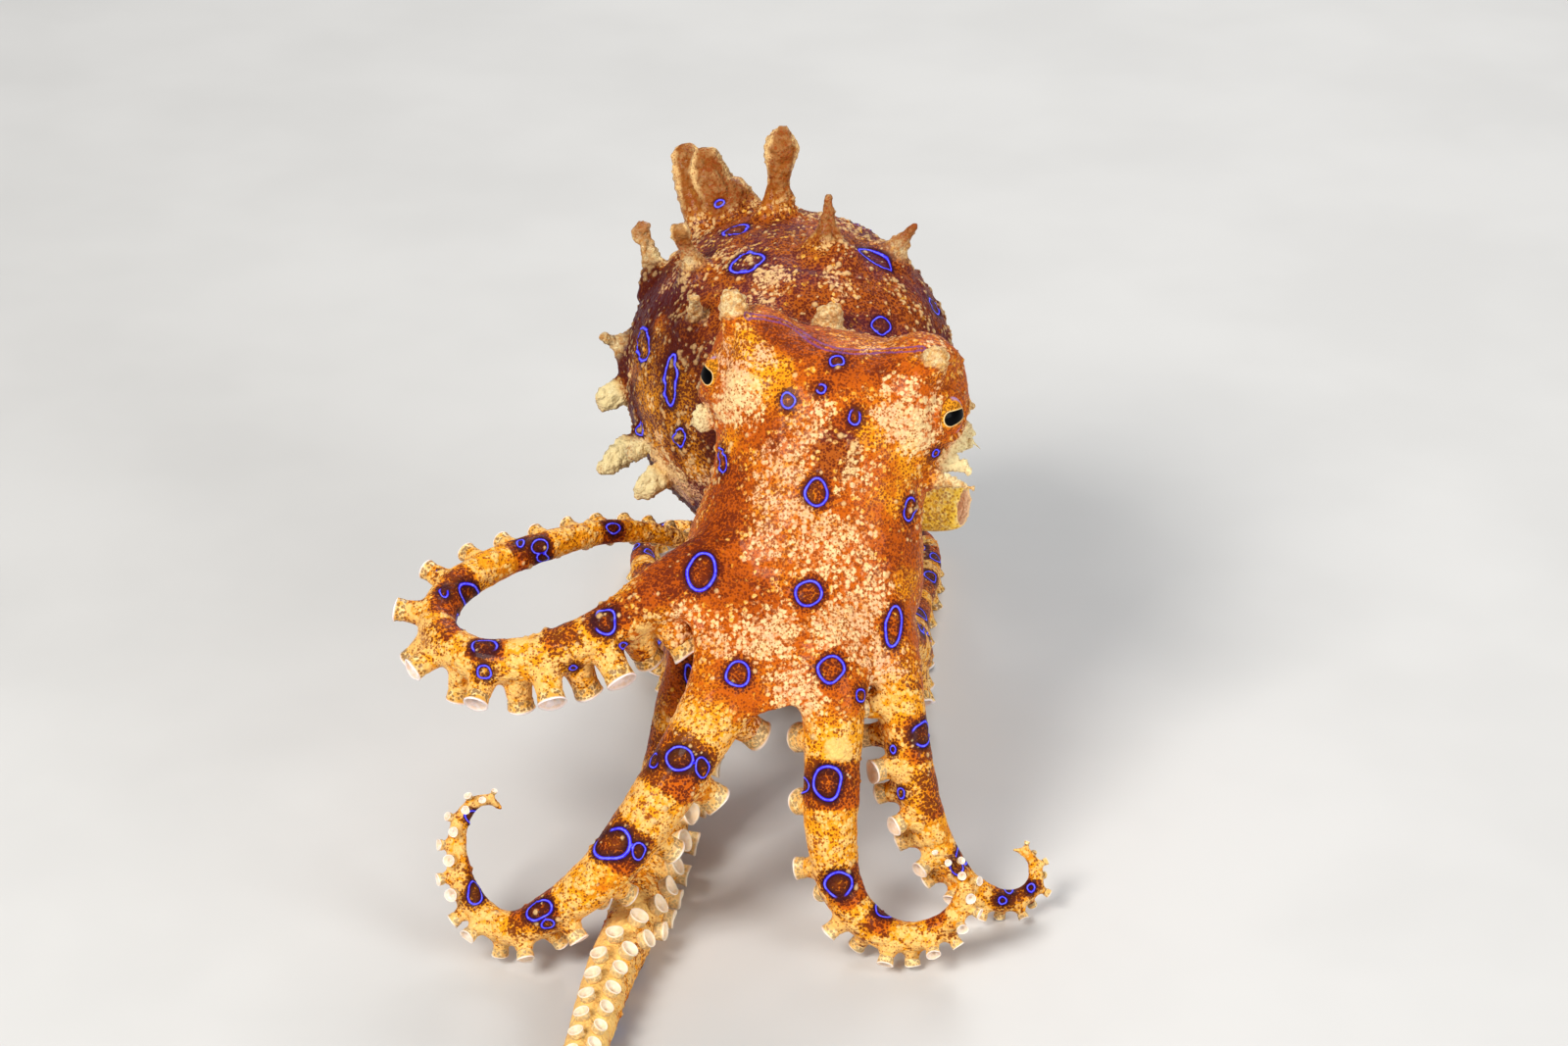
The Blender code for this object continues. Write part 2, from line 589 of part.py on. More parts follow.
def neighbour_cutter(collection):
    """The head and the core of the arm crown, enlarged by the seam, to cut what meets them."""
    return head_solid("head cutter", HEAD_STATIONS[-1][0], NECK_SEAM, collection)


def torus(name, radius, thickness, sides, place, collection):
    bpy.ops.mesh.primitive_torus_add(major_segments=sides, minor_segments=5,
                                     major_radius=radius * MM, minor_radius=thickness * MM)
    made = bpy.context.object
    made.name = name
    made.data.transform(place)
    for owner in list(made.users_collection):
        owner.objects.unlink(made)
    collection.objects.link(made)
    return made


def eye_place(side):
    """Centre of an eye and the direction that it looks in; side is 1 for the animal's left."""
    out, top, along = EYE_LOOK
    look = (HEAD_LEFT * side * out + HEAD_TOP * top + HEAD_AXIS * along).normalized()
    out, top, along = EYE_PLACE
    return head_point(along, side * out, top), look


def make_head(skin, collection):
    head = head_solid("head", CROWN_START, 0.0, collection)
    pieces = new_collection("lids")
    cutters = []
    for side in (-1, 1):
        centre, look = eye_place(side)
        lid_out = (EYE_RADIUS + SEAM) * math.cos(LID_OPENING)
        lid_radius = (EYE_RADIUS + SEAM) * math.sin(LID_OPENING) + LID_WIDTH * LID_LAP
        place = frame_matrix(centre + look * lid_out, look, HEAD_AXIS)
        torus("lid", lid_radius, LID_WIDTH, 16, place, pieces)
        cutters.append(ball("socket", centre, [EYE_RADIUS + SEAM] * 3, place.to_3x3(), collection))
    for (left, top, along), way, height, width, blunt in HEAD_PAPILLAE:
        out = (HEAD_LEFT * way[0] + HEAD_TOP * way[1] + HEAD_AXIS * way[2]).normalized()
        root = skin_point(head, head_point(along, left, top), out)
        spike("papilla", root, out, height, width, blunt, pieces)
    fuse(head, pieces, cutters)
    return finish(head, "head", skin, collection)


def skin_point(obj, inside, out):
    """Where the way out from a point inside an object meets its skin."""
    far = 20.0
    bpy.context.view_layer.update()
    hit, point, _, _ = obj.ray_cast((inside + out * far) * MM, -out)
    if not hit:
        raise ValueError("a papilla's line misses " + obj.name)
    return point / MM


def make_eyes(eye, collection):
    for side, name in ((-1, "eye_right"), (1, "eye_left")):
        centre, look = eye_place(side)
        turn = frame_matrix(centre, look, HEAD_AXIS).to_3x3()
        finish(ball(name, centre, [EYE_RADIUS] * 3, turn, collection), name, eye, collection)


def make_mantle(skin, collection):
    mantle = mantle_body("mantle", collection)
    pieces = new_collection("mantle papillae")
    for share, degrees, height, width, blunt, lean in MANTLE_PAPILLAE:
        angle = math.radians(degrees)
        root = mantle_point(share, angle)
        out = (mantle_point(share, angle, 1.0) - root).normalized()
        nudge = 0.02
        slope = (mantle_point(share - nudge, angle) - mantle_point(share + nudge, angle)).normalized()
        outward = slope.cross(out).cross(slope).normalized()
        around = outward.cross(slope)
        ahead = (outward + slope * lean[0] + around * lean[1]).normalized()
        spike("papilla", root, ahead, height, width, blunt, pieces)
    fuse(mantle, pieces, [neighbour_cutter(collection)])
    return finish(mantle, "mantle", skin, collection)


def make_funnel(skin, collection):
    points, _ = smooth_way(FUNNEL_PATH, 1.0)
    shares = np.linspace(0, 1, len(points))
    radii = np.interp(shares, np.linspace(0, 1, len(FUNNEL_RADII)), FUNNEL_RADII)
    funnel = tube("funnel", points, radii, collection, resolution=3)
    mantle = mantle_body("mantle cutter", collection)
    for vert in mantle.data.vertices:
        offset = vert.co / MM - MANTLE_CENTRE
        vert.co = (MANTLE_CENTRE + offset + offset.normalized() * FUNNEL_CLEARANCE) * MM
    mouth = Vector(points[-1])
    inward = (Vector(points[-2]) - mouth).normalized()
    bore = cone("bore", mouth - inward, inward, ANY_SIDE, FUNNEL_BORE_DEPTH + 1.0, FUNNEL_BORE,
                FUNNEL_BORE * FUNNEL_BORE_NARROWING, 14, collection)
    fuse(funnel, new_collection("funnel pieces"), [neighbour_cutter(collection), mantle, bore])
    return finish(funnel, "funnel", skin, collection)


def web_panel(name, first, second, collection):
    """The skin between two neighbouring arms, with its free edge drawn in towards the mouth."""
    rows = 5
    columns = 4
    bm = bmesh.new()
    grid = []
    for i in range(rows + 1):
        row = []
        for j in range(columns + 1):
            across = j / columns
            middle = math.sin(math.pi * across)
            share = i / rows
            reach = WEB_START + (WEB_REACH - WEB_START) * share * (1 - WEB_SCALLOP * middle * share)
            point = first.back(reach).lerp(second.back(reach), across)
            out = -(first.facing(reach) + second.facing(reach)).normalized()
            row.append(bm.verts.new((point + out * WEB_SWELL * middle) * MM))
        grid.append(row)
    for i in range(rows):
        for j in range(columns):
            bm.faces.new((grid[i][j], grid[i][j + 1], grid[i + 1][j + 1], grid[i + 1][j]))
    panel = object_from(bm, name, collection)
    solid = panel.modifiers.new("Thickness", "SOLIDIFY")
    solid.thickness = WEB_THICKNESS * MM
    solid.offset = 0.0
    solid.use_even_offset = False
    mesh = as_mesh(panel)
    panel.modifiers.remove(solid)
    panel.data = mesh
    return panel


def arm_piece(name, arm, start, end, collection):
    count = max(ARM_LEAST_RINGS, round((end - start) / ARM_STEP) + 1)
    at = np.linspace(start, end, count)
    return tube(name, [arm.point(d) for d in at], [arm.radius(d) for d in at], collection)


def joint_cutter(arm, joint, ahead, collection):
    """A short drum from a joint's own face that trims what leans over it; ahead is 1 towards the tip."""
    size = arm.radius(joint) * JOINT_DRUM
    along = arm.tangent(joint) * ahead
    start = arm.point(joint) - along * SEAM / 2
    return cone("joint", start, along, ANY_SIDE, size, size, size, 16, collection)


def floor_cutter(collection):
    """The block under the floor, which gives what rests on it a small flat."""
    width = 300.0
    depth = 10.0
    bm = bmesh.new()
    scale = Matrix.Diagonal((width * MM, width * MM, depth * MM, 1.0))
    bmesh.ops.create_cube(bm, size=1.0, matrix=Matrix.Translation((0, 0, -depth / 2 * MM)) @ scale)
    return object_from(bm, "floor", collection)


def make_crown(arms, skin, collection):
    """The ring where the eight arms meet: its core, their roots, the web between them and the mouth."""
    crown = head_body("arm_crown", CROWN_START + SEAM, HEAD_STATIONS[-1][0], 0.0, collection)
    pieces = new_collection("crown pieces")
    for name in ARM_RING:
        arm = arms[name]
        arm_piece("arm root", arm, 0.0, arm.joints[0] - SEAM / 2, pieces)
        for i, distance in enumerate(sucker_places(arm)):
            if distance < arm.joints[0]:
                sucker("sucker", arm, distance, 1 if i % 2 else -1, pieces)
    for first, second in zip(ARM_RING, ARM_RING[1:] + ARM_RING[:1]):
        web_panel("web", arms[first], arms[second], pieces)
    centre = head_point(HEAD_STATIONS[-1][0], 0.0, -HEAD_STATIONS[-1][3])
    torus("lip", LIP_RADIUS, LIP_THICKNESS, 12, frame_matrix(centre, HEAD_AXIS, HEAD_LEFT), pieces)
    cutters = [joint_cutter(arms[name], arms[name].joints[0], 1, collection) for name in ARM_RING]
    cutters.append(cone("mouth", centre - HEAD_AXIS * MOUTH_DEPTH, HEAD_AXIS, HEAD_LEFT, 2 * MOUTH_DEPTH,
                        THROAT_RADIUS, MOUTH_RADIUS, 12, collection))
    fuse(crown, pieces, cutters)
    return finish(crown, "arm_crown", skin, collection)


def make_arm(name, arm, skin, collection):
    """The free part of an arm as three lengths, each with the suckers that it carries."""
    places = sucker_places(arm)
    ends = [*arm.joints, arm.length]
    for part, start, end in zip(("base", "middle", "tip"), ends, ends[1:]):
        node = f"{name}_{part}"
        stop = end - SEAM / 2 if end < arm.length else end
        length = arm_piece(node, arm, start + SEAM / 2, stop, collection)
        pieces = new_collection(node + " suckers")
        for i, distance in enumerate(places):
            if start < distance < end:
                sucker("sucker", arm, distance, 1 if i % 2 else -1, pieces)
        cutters = [floor_cutter(collection), joint_cutter(arm, start, -1, collection)]
        if end < arm.length:
            cutters.append(joint_cutter(arm, end, 1, collection))
        fuse(length, pieces, cutters)
        finish(length, node, skin, collection)


def main():
    remove(bpy.data.objects)
    octopus = new_collection("blue_ringed_octopus")
    skin = skin_material("skin", (0.55, 0.26, 0.09), 0.5)
    eye = skin_material("eye", (0.75, 0.35, 0.08), 0.15)
    arms = {name: Arm(**ARMS[name]) for name in ARM_RING}
    make_head(skin, octopus)
    make_eyes(eye, octopus)
    make_mantle(skin, octopus)
    make_funnel(skin, octopus)
    make_crown(arms, skin, octopus)
    for name, arm in arms.items():
        make_arm(name, arm, skin, octopus)
    for obj in octopus.objects:
        obj.location = -MODEL_CENTRE * MM


main()
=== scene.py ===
"""A blue ringed octopus, life size, that stands on its arms with the mantle held out behind the head.

Flesh is shaped in millimetres, in the animal's own place: it faces -Y, its left side is at +X, and the
floor is at z = 0. MODEL_CENTRE and MM then set each finished piece into the frame.
"""

import math

import bpy
import numpy as np
from mathutils import Matrix, Vector, kdtree, noise


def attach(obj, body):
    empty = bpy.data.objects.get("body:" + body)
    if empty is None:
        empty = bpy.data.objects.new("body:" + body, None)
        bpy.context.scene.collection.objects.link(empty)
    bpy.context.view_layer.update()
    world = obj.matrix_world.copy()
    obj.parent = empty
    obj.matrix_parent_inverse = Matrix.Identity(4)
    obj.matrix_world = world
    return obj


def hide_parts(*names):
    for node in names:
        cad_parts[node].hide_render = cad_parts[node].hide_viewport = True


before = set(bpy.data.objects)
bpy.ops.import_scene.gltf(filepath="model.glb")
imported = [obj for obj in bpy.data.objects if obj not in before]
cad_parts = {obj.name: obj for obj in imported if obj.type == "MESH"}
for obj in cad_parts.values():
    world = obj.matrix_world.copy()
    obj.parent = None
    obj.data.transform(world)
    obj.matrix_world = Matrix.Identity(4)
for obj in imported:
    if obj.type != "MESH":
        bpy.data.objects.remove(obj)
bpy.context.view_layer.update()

# The camera looks down on the animal's face from the front, from about 30 cm away.
# One pixel of the picture covers PIXEL of the animal at the aim point, in the middle of the picture.
# The rings and patches further down are placed by the picture's own pixels, along this camera's sight lines.
MM = 0.001
MODEL_CENTRE = np.array((-4.847, -1.648, 0.0))
PICTURE_WIDTH = 1600
AIM_PIXEL = np.array((800.0, 533.0))
PIXEL = 0.08
AIM = np.array((0.0, -4.93, 28.73))
CAMERA_DISTANCE = 300.0
LOOK_DOWN = math.radians(28)
SENSOR = 36.0

SIGHT_RIGHT = np.array((1.0, 0.0, 0.0))
SIGHT_UP = np.array((0.0, math.sin(LOOK_DOWN), math.cos(LOOK_DOWN)))
SIGHT_AHEAD = np.array((0.0, math.cos(LOOK_DOWN), -math.sin(LOOK_DOWN)))
CAMERA_PLACE = AIM - SIGHT_AHEAD * CAMERA_DISTANCE

camera_data = bpy.data.cameras.new("camera")
camera_data.sensor_width = SENSOR
camera_data.lens = SENSOR * CAMERA_DISTANCE / (PICTURE_WIDTH * PIXEL)
camera_data.clip_start = 0.01
camera = bpy.data.objects.new("camera", camera_data)
camera.matrix_world = Matrix.Translation((CAMERA_PLACE - MODEL_CENTRE) * MM) @ Matrix(
    np.column_stack([SIGHT_RIGHT, SIGHT_UP, -SIGHT_AHEAD]).tolist()).to_4x4()
bpy.context.scene.collection.objects.link(camera)
bpy.context.scene.camera = camera


def sight_line(pixel):
    """The unit direction from the camera through a pixel of the picture."""
    across, down = (np.array(pixel) - AIM_PIXEL) * PIXEL
    way = SIGHT_AHEAD * CAMERA_DISTANCE + SIGHT_RIGHT * across - SIGHT_UP * down
    return way / np.linalg.norm(way)


# The head: one firm, muscular body from above the eyes to the mouth, rolled a little to its right, with a
# rounded bulge for each eye. Its flesh starts as closed shells that the skin is later drawn over.
EYE_MIDPOINT = np.array((4.1, 0.0, 38.0))
HEAD_LEAN = math.radians(28)
HEAD_ROLL = math.radians(10)
HEAD_TURN = math.radians(8)
EYE_SPREAD = 6.8
EYE_BULGE = np.array((4.5, 5.0, 5.5))
EYE_BULGE_ALONG = -0.8
EYE_BULGE_TOP = 0.9
# Distance from the eye line, half width, half depth, shift towards the back of the animal.
HEAD_STATIONS = (
    (-5.3, 3.2, 2.4, 1.6),
    (-4.5, 6.2, 4.6, 1.3),
    (-2.6, 8.6, 6.4, 0.9),
    (0.0, 9.4, 7.2, 0.6),
    (4.0, 9.1, 7.2, 0.3),
    (8.0, 8.8, 7.0, 0.0),
    (12.5, 9.8, 7.2, 0.0),
    (16.0, 10.0, 7.2, 0.0),
    (19.0, 7.6, 6.0, 0.2),
    (20.8, 3.6, 3.2, 0.4),
)
HEAD_SIDES = 72
HEAD_STEP = 0.5


def unit(way):
    way = np.asarray(way, float)
    return way / np.linalg.norm(way, axis=-1, keepdims=True)


def square_to(axis, way):
    """The unit direction nearest to a way that is square to the axis."""
    return unit(way - axis * (way @ axis))


def bearings(sides):
    """Angles evenly spread over one full turn."""
    return np.linspace(0, 2 * math.pi, sides, endpoint=False)


def walls_between(index):
    """Four-sided faces between rings, given as rows of the numbers of their points."""
    following = np.roll(index, -1, axis=1)
    return np.stack([index[:-1], following[:-1], following[1:], index[1:]], axis=-1).reshape(-1, 4)


def shell(rings):
    """A closed shell through rings of equal count, as points and faces."""
    rings = np.asarray(rings)
    index = np.arange(rings.shape[0] * rings.shape[1]).reshape(rings.shape[:2])
    ends = [index[0][::-1].tolist(), index[-1].tolist()]
    return rings.reshape(-1, 3), walls_between(index).tolist() + ends


def ball(centre, radii, axes, sides=48, rings=32):
    """An ellipsoid with its radii along the given axes, as a shell. Each pole is a small flat."""
    pole = 0.02
    polar = np.linspace(pole, math.pi - pole, rings)[:, None, None]
    turn = bearings(sides)[None, :, None]
    x = np.sin(polar) * np.cos(turn) * axes[0] * radii[0]
    y = np.sin(polar) * np.sin(turn) * axes[1] * radii[1]
    z = np.cos(polar) * axes[2] * radii[2]
    return shell(centre + x + y + z)


def smooth_way(points, step):
    """Points about a step apart along one smooth curve through the given ones, with its length."""
    samples = 24
    points = np.array(points, float)
    knots = np.concatenate([[0], np.cumsum(np.linalg.norm(np.diff(points, axis=0), axis=1) ** 0.5)])
    padded = np.vstack([2 * points[0] - points[1], points, 2 * points[-1] - points[-2]])
    times = np.concatenate([[-knots[1]], knots, [2 * knots[-1] - knots[-2]]])
    dense = []
    for i in range(1, len(padded) - 2):
        t0, t1, t2, t3 = times[i - 1:i + 3]
        p0, p1, p2, p3 = padded[i - 1:i + 3]
        for t in np.linspace(t1, t2, samples, endpoint=False):
            a1 = (t1 - t) / (t1 - t0) * p0 + (t - t0) / (t1 - t0) * p1
            a2 = (t2 - t) / (t2 - t1) * p1 + (t - t1) / (t2 - t1) * p2
            a3 = (t3 - t) / (t3 - t2) * p2 + (t - t2) / (t3 - t2) * p3
            b1 = (t2 - t) / (t2 - t0) * a1 + (t - t0) / (t2 - t0) * a2
            b2 = (t3 - t) / (t3 - t1) * a2 + (t - t1) / (t3 - t1) * a3
            dense.append((t2 - t) / (t2 - t1) * b1 + (t - t1) / (t2 - t1) * b2)
    dense = np.array(dense + [points[-1]])
    length = np.concatenate([[0], np.cumsum(np.linalg.norm(np.diff(dense, axis=0), axis=1))])
    even = np.linspace(0, length[-1], max(4, round(length[-1] / step) + 1))
    return np.column_stack([np.interp(even, length, column) for column in dense.T]), length[-1]


def turned(way, axis, angle):
    return np.array(Matrix.Rotation(angle, 3, Vector(axis)) @ Vector(way))


HEAD_AXIS = np.array((-math.sin(HEAD_ROLL), -math.cos(HEAD_ROLL) * math.sin(HEAD_LEAN),
                      -math.cos(HEAD_ROLL) * math.cos(HEAD_LEAN)))
head_top = np.array((0.0, -math.cos(HEAD_LEAN), math.sin(HEAD_LEAN)))
HEAD_TOP = turned(head_top, HEAD_AXIS, HEAD_TURN)
HEAD_LEFT = turned(np.cross(head_top, HEAD_AXIS), HEAD_AXIS, HEAD_TURN)


def head_point(along, left, top):
    return EYE_MIDPOINT + HEAD_AXIS * along + HEAD_LEFT * left + HEAD_TOP * top


stations, _ = smooth_way(HEAD_STATIONS, HEAD_STEP)
around = bearings(HEAD_SIDES)[:, None]
flesh = [shell([head_point(along, width * np.cos(around), depth * np.sin(around) - shift)
                for along, width, depth, shift in stations])]
for side in (-1, 1):
    flesh.append(ball(head_point(EYE_BULGE_ALONG, side * EYE_SPREAD, EYE_BULGE_TOP), EYE_BULGE,
                      (HEAD_LEFT, HEAD_TOP, HEAD_AXIS)))

# The mantle: the soft bag of the body, an egg that narrows to a blunt end. It is held out behind the head
# and droops a little, and its open edge is tucked under the back of the head.
MANTLE_CENTRE = np.array((0.4, 19.0, 30.8))
MANTLE_DROOP = math.radians(12)
MANTLE_TURN = math.radians(8)
MANTLE_HALF_LENGTH = 18.5
MANTLE_RADIUS = 14.2
MANTLE_FRONT_FULLNESS = 2.6
MANTLE_TIP_FULLNESS = 1.75
MANTLE_SIDES = 120
MANTLE_RINGS = 110
MANTLE_POLE = 0.01

MANTLE_BACK = np.array((-math.sin(MANTLE_TURN) * math.cos(MANTLE_DROOP),
                        math.cos(MANTLE_TURN) * math.cos(MANTLE_DROOP),
                        -math.sin(MANTLE_DROOP)))
MANTLE_LEFT = unit(np.cross(MANTLE_BACK, (0.0, 0.0, 1.0)))
MANTLE_UP = np.cross(MANTLE_LEFT, MANTLE_BACK)


def mantle_point(share, angle, lift=0.0):
    """A point on the mantle: share -1 is the neck and 1 the tip, angle 0 the top, growing to the left."""
    fullness = MANTLE_FRONT_FULLNESS if share < 0 else MANTLE_TIP_FULLNESS
    radius = MANTLE_RADIUS * max(0.0, 1 - abs(share) ** fullness) ** 0.5 + lift
    across = np.multiply.outer(np.sin(angle), MANTLE_LEFT) + np.multiply.outer(np.cos(angle), MANTLE_UP)
    return MANTLE_CENTRE + MANTLE_BACK * MANTLE_HALF_LENGTH * share + across * radius


flesh.append(shell([mantle_point(-math.cos(slope), bearings(MANTLE_SIDES))
                    for slope in np.linspace(MANTLE_POLE, math.pi - MANTLE_POLE, MANTLE_RINGS)]))

# The funnel: a short muscular tube that the animal breathes out through, bent round to its left side below
# the eye. It is open at its mouth, with a thin lip.
FUNNEL_PATH = ((5.0, 5.0, 27.4), (9.0, 3.2, 27.3), (12.4, 0.9, 27.5), (15.6, -0.3, 27.7))
FUNNEL_RADII = (3.5, 3.3, 3.0, 2.75, 2.5, 1.95)
FUNNEL_WALL = 0.55
FUNNEL_DEPTH = 4.5
FUNNEL_STEP = 0.3
FUNNEL_SIDES = 40


def tube_frames(points, side):
    """Tangents along the points, with two directions square to them."""
    along = unit(np.gradient(points, axis=0))
    first = unit(np.broadcast_to(side, points.shape) - along * np.sum(along * side, axis=-1, keepdims=True))
    return along, first, np.cross(first, along)


def tube(points, radii, first, second, sides, squash=1.0):
    """Rings round a line, flattened by squash along the first direction."""
    turn = bearings(sides)[None, :, None]
    radii = np.asarray(radii)[:, None, None]
    return (points[:, None, :] + radii * squash * np.cos(turn) * first[:, None, :]
            + radii * np.sin(turn) * second[:, None, :])


funnel_line, _ = smooth_way(FUNNEL_PATH, FUNNEL_STEP)
funnel_along, first, second = tube_frames(funnel_line, (0.0, 0.0, 1.0))
funnel_radii = np.interp(np.linspace(0, 1, len(funnel_line)), np.linspace(0, 1, len(FUNNEL_RADII)),
                         FUNNEL_RADII)
outside = tube(funnel_line, funnel_radii, first, second, FUNNEL_SIDES)
inside = tube(funnel_line, funnel_radii - FUNNEL_WALL, first, second, FUNNEL_SIDES)
lip = tube(funnel_line[-1:] + funnel_along[-1:] * FUNNEL_WALL * 0.4, funnel_radii[-1:] - FUNNEL_WALL * 0.5,
           first[-1:], second[-1:], FUNNEL_SIDES)
hollow = inside[-round(FUNNEL_DEPTH / FUNNEL_STEP):][::-1]
flesh.append(shell(np.concatenate([outside, lip, hollow])))

# The eight arms, each a tapering rod of muscle with its suckers on the side that faces the mouth, and the
# web, a fold of skin that joins their roots. The front arms curl on the floor and one is held out in a loop.
# way: points on the centre line. oral: share of the length and the direction that the suckers face there.
# Then the swell of the radius at the mouth and along the free arm, how far the suckers are held out, and
# how close they stand where the arm is drawn in.
ARM_STEP = 0.3
ARM_SIDES = 40
ARM_TAPER = ((0.0, 3.2), (0.15, 2.95), (0.35, 2.4), (0.6, 1.75), (0.8, 1.15), (0.93, 0.7), (1.0, 0.42))
ARM_FLATNESS = 0.1
CROWN_REACH = 15.0
WEB_START = 1.5
WEB_REACH = 14.6
WEB_SCALLOP = 0.38
WEB_THICKNESS = 1.3
WEB_HEIGHT = 0.4
WEB_SWELL = 0.5
WEB_ROWS = 24
WEB_COLUMNS = 16
ARMS = {
    "arm_right_1": (
        ((-1.2, -10.1, 25.5), (-3.4, -14.6, 23.3), (-5.1, -18.4, 20.2), (-7.8, -21.8, 16.6),
         (-10.8, -24.6, 13.0), (-14.2, -26.4, 9.0), (-18.2, -26.8, 5.6), (-22.0, -26.2, 3.4),
         (-25.0, -24.4, 4.8), (-26.2, -22.4, 8.0), (-25.6, -20.6, 10.8), (-23.8, -19.8, 11.6),
         (-22.4, -20.2, 10.6)),
        ((0.0, (0.2, 0.9, -0.3)), (0.3, (0.7, 0.7, -0.1)), (0.53, (0.8, 0.5, 0.1)),
         (0.64, (0.0, -0.3, -1.0)), (0.72, (-0.5, -0.3, -0.9)), (0.8, (-0.9, -0.7, 0.1)),
         (0.9, (-0.5, -0.6, 0.8)), (1.0, (0.8, -0.3, 0.6))),
        (1.12, 1.1), 0.65),
    "arm_right_2": (
        ((-2.0, -7.1, 24.9), (-5.2, -9.8, 27.2), (-9.0, -12.2, 26.8), (-14.5, -15.0, 24.2),
         (-20.3, -16.2, 22.4), (-25.0, -15.2, 22.0), (-28.0, -11.6, 22.4), (-27.4, -7.4, 23.4),
         (-24.0, -3.9, 24.2), (-19.6, -0.5, 24.3), (-14.4, 2.9, 23.8), (-9.4, 5.8, 21.6),
         (-5.2, 8.4, 17.6), (-2.0, 11.4, 14.6), (0.6, 14.6, 13.4)),
        ((0.0, (0.1, 0.8, -0.6)), (0.2, (0.0, -0.45, -0.9)), (0.36, (-0.2, -0.55, -0.8)),
         (0.44, (-1.0, -0.2, -0.3)), (0.5, (-0.8, 0.6, -0.2)), (0.58, (-0.3, 1.0, -0.4)),
         (1.0, (0.2, 1.0, -0.45))),
        (1.15, 0.84), 1.0),
    "arm_right_3": (
        ((-1.6, -5.2, 21.4), (-5.2, -5.6, 18.6), (-7.6, -7.0, 14.2), (-8.9, -8.2, 9.0),
         (-10.2, -10.6, 4.6), (-11.2, -15.8, 2.3), (-12.2, -23.4, 2.1), (-13.7, -30.4, 2.0),
         (-14.8, -37.2, 1.8), (-15.6, -44.4, 1.6), (-14.6, -51.0, 1.35), (-10.2, -55.2, 1.2),
         (-4.8, -55.2, 1.0), (-2.0, -51.6, 0.8), (-4.0, -48.6, 0.6)),
        ((0.0, (0.3, -0.6, -0.7)), (0.2, (0.9, -0.5, 0.0)), (0.4, (1.0, -0.2, 0.2)),
         (0.5, (0.1, -0.2, 1.0)), (1.0, (0.1, 0.0, 1.0))),
        (1.05, 1.03), 0.25, 0.6),
    "arm_right_4": (
        ((-1.6, -3.4, 20.6), (-4.6, 0.2, 17.0), (-6.6, 4.8, 12.2), (-8.0, 10.6, 7.2),
         (-9.4, 17.6, 4.2), (-11.2, 25.4, 3.2), (-12.8, 33.0, 2.5), (-13.4, 40.0, 1.95),
         (-11.0, 45.4, 1.5), (-7.2, 45.6, 1.1), (-6.4, 42.2, 0.7)),
        ((0.0, (0.2, -0.5, -0.8)), (0.3, (0.1, -0.4, -0.9)), (0.5, (0.0, 0.0, -1.0)),
         (1.0, (0.0, 0.0, -1.0))),
        (1.0, 1.0), 1.0),
    "arm_left_1": (
        ((1.7, -10.1, 25.5), (3.1, -15.0, 23.6), (3.9, -18.5, 20.2), (3.8, -21.2, 15.2),
         (3.8, -23.2, 10.2), (4.8, -24.8, 5.8), (7.6, -26.0, 3.1), (11.2, -26.4, 2.9),
         (13.8, -26.2, 5.0), (14.4, -25.6, 7.6), (12.8, -25.2, 9.4), (10.9, -25.6, 8.8)),
        ((0.0, (-0.1, 0.9, -0.3)), (0.35, (-0.3, 0.8, -0.4)), (0.52, (-0.2, 0.0, -1.0)),
         (0.68, (0.4, -0.3, -0.8)), (0.82, (0.9, -0.4, 0.4)), (1.0, (-0.6, -0.5, 0.5))),
        (1.0, 1.05), 0.65),
    "arm_left_2": (
        ((3.6, -7.1, 24.7), (6.9, -10.3, 24.9), (8.5, -13.4, 22.2), (9.5, -16.4, 17.5),
         (10.5, -18.4, 12.4), (12.5, -19.6, 6.8), (15.4, -19.8, 2.9), (18.6, -20.0, 1.9),
         (20.6, -18.8, 2.9), (20.0, -17.6, 4.8), (18.4, -18.0, 5.6)),
        ((0.0, (-0.3, 0.7, -0.6)), (0.3, (-0.9, -0.1, -0.3)), (0.5, (-0.8, -0.3, -0.5)),
         (0.66, (0.0, -0.3, -1.0)), (0.82, (0.8, -0.1, -0.6)), (1.0, (0.2, 0.9, 0.4))),
        (1.0, 1.0), 0.65),
    "arm_left_3": (
        ((4.0, -4.4, 22.2), (6.2, -1.6, 19.2), (8.6, 2.8, 14.6), (10.4, 8.0, 9.4), (10.9, 14.0, 5.2),
         (11.2, 21.0, 3.6), (12.2, 28.6, 2.8), (13.6, 36.0, 2.2), (13.2, 42.8, 1.7), (9.6, 46.4, 1.3),
         (6.4, 44.4, 1.0), (7.4, 41.2, 0.7)),
        ((0.0, (-0.3, -0.5, -0.8)), (0.3, (-0.1, -0.4, -0.9)), (0.5, (0.0, 0.0, -1.0)),
         (1.0, (0.0, 0.0, -1.0))),
        (1.0, 1.0), 1.0),
    "arm_left_4": (
        ((2.4, -3.0, 20.4), (3.2, 1.2, 16.6), (3.0, 6.4, 12.0), (2.6, 12.4, 6.8), (2.4, 19.2, 4.0),
         (2.0, 27.0, 3.0), (1.0, 35.0, 2.35), (-1.0, 42.4, 1.8), (-2.6, 48.8, 1.4), (0.2, 52.6, 1.05),
         (3.6, 51.0, 0.7)),
        ((0.0, (0.0, -0.5, -0.8)), (0.3, (0.0, -0.4, -0.9)), (0.5, (0.0, 0.0, -1.0)),
         (1.0, (0.0, 0.0, -1.0))),
        (1.0, 1.0), 1.0),
}
# The arms in turn round the mouth.
ARMS_IN_TURN = ("arm_right_1", "arm_right_2", "arm_right_3", "arm_right_4",
                "arm_left_4", "arm_left_3", "arm_left_2", "arm_left_1")


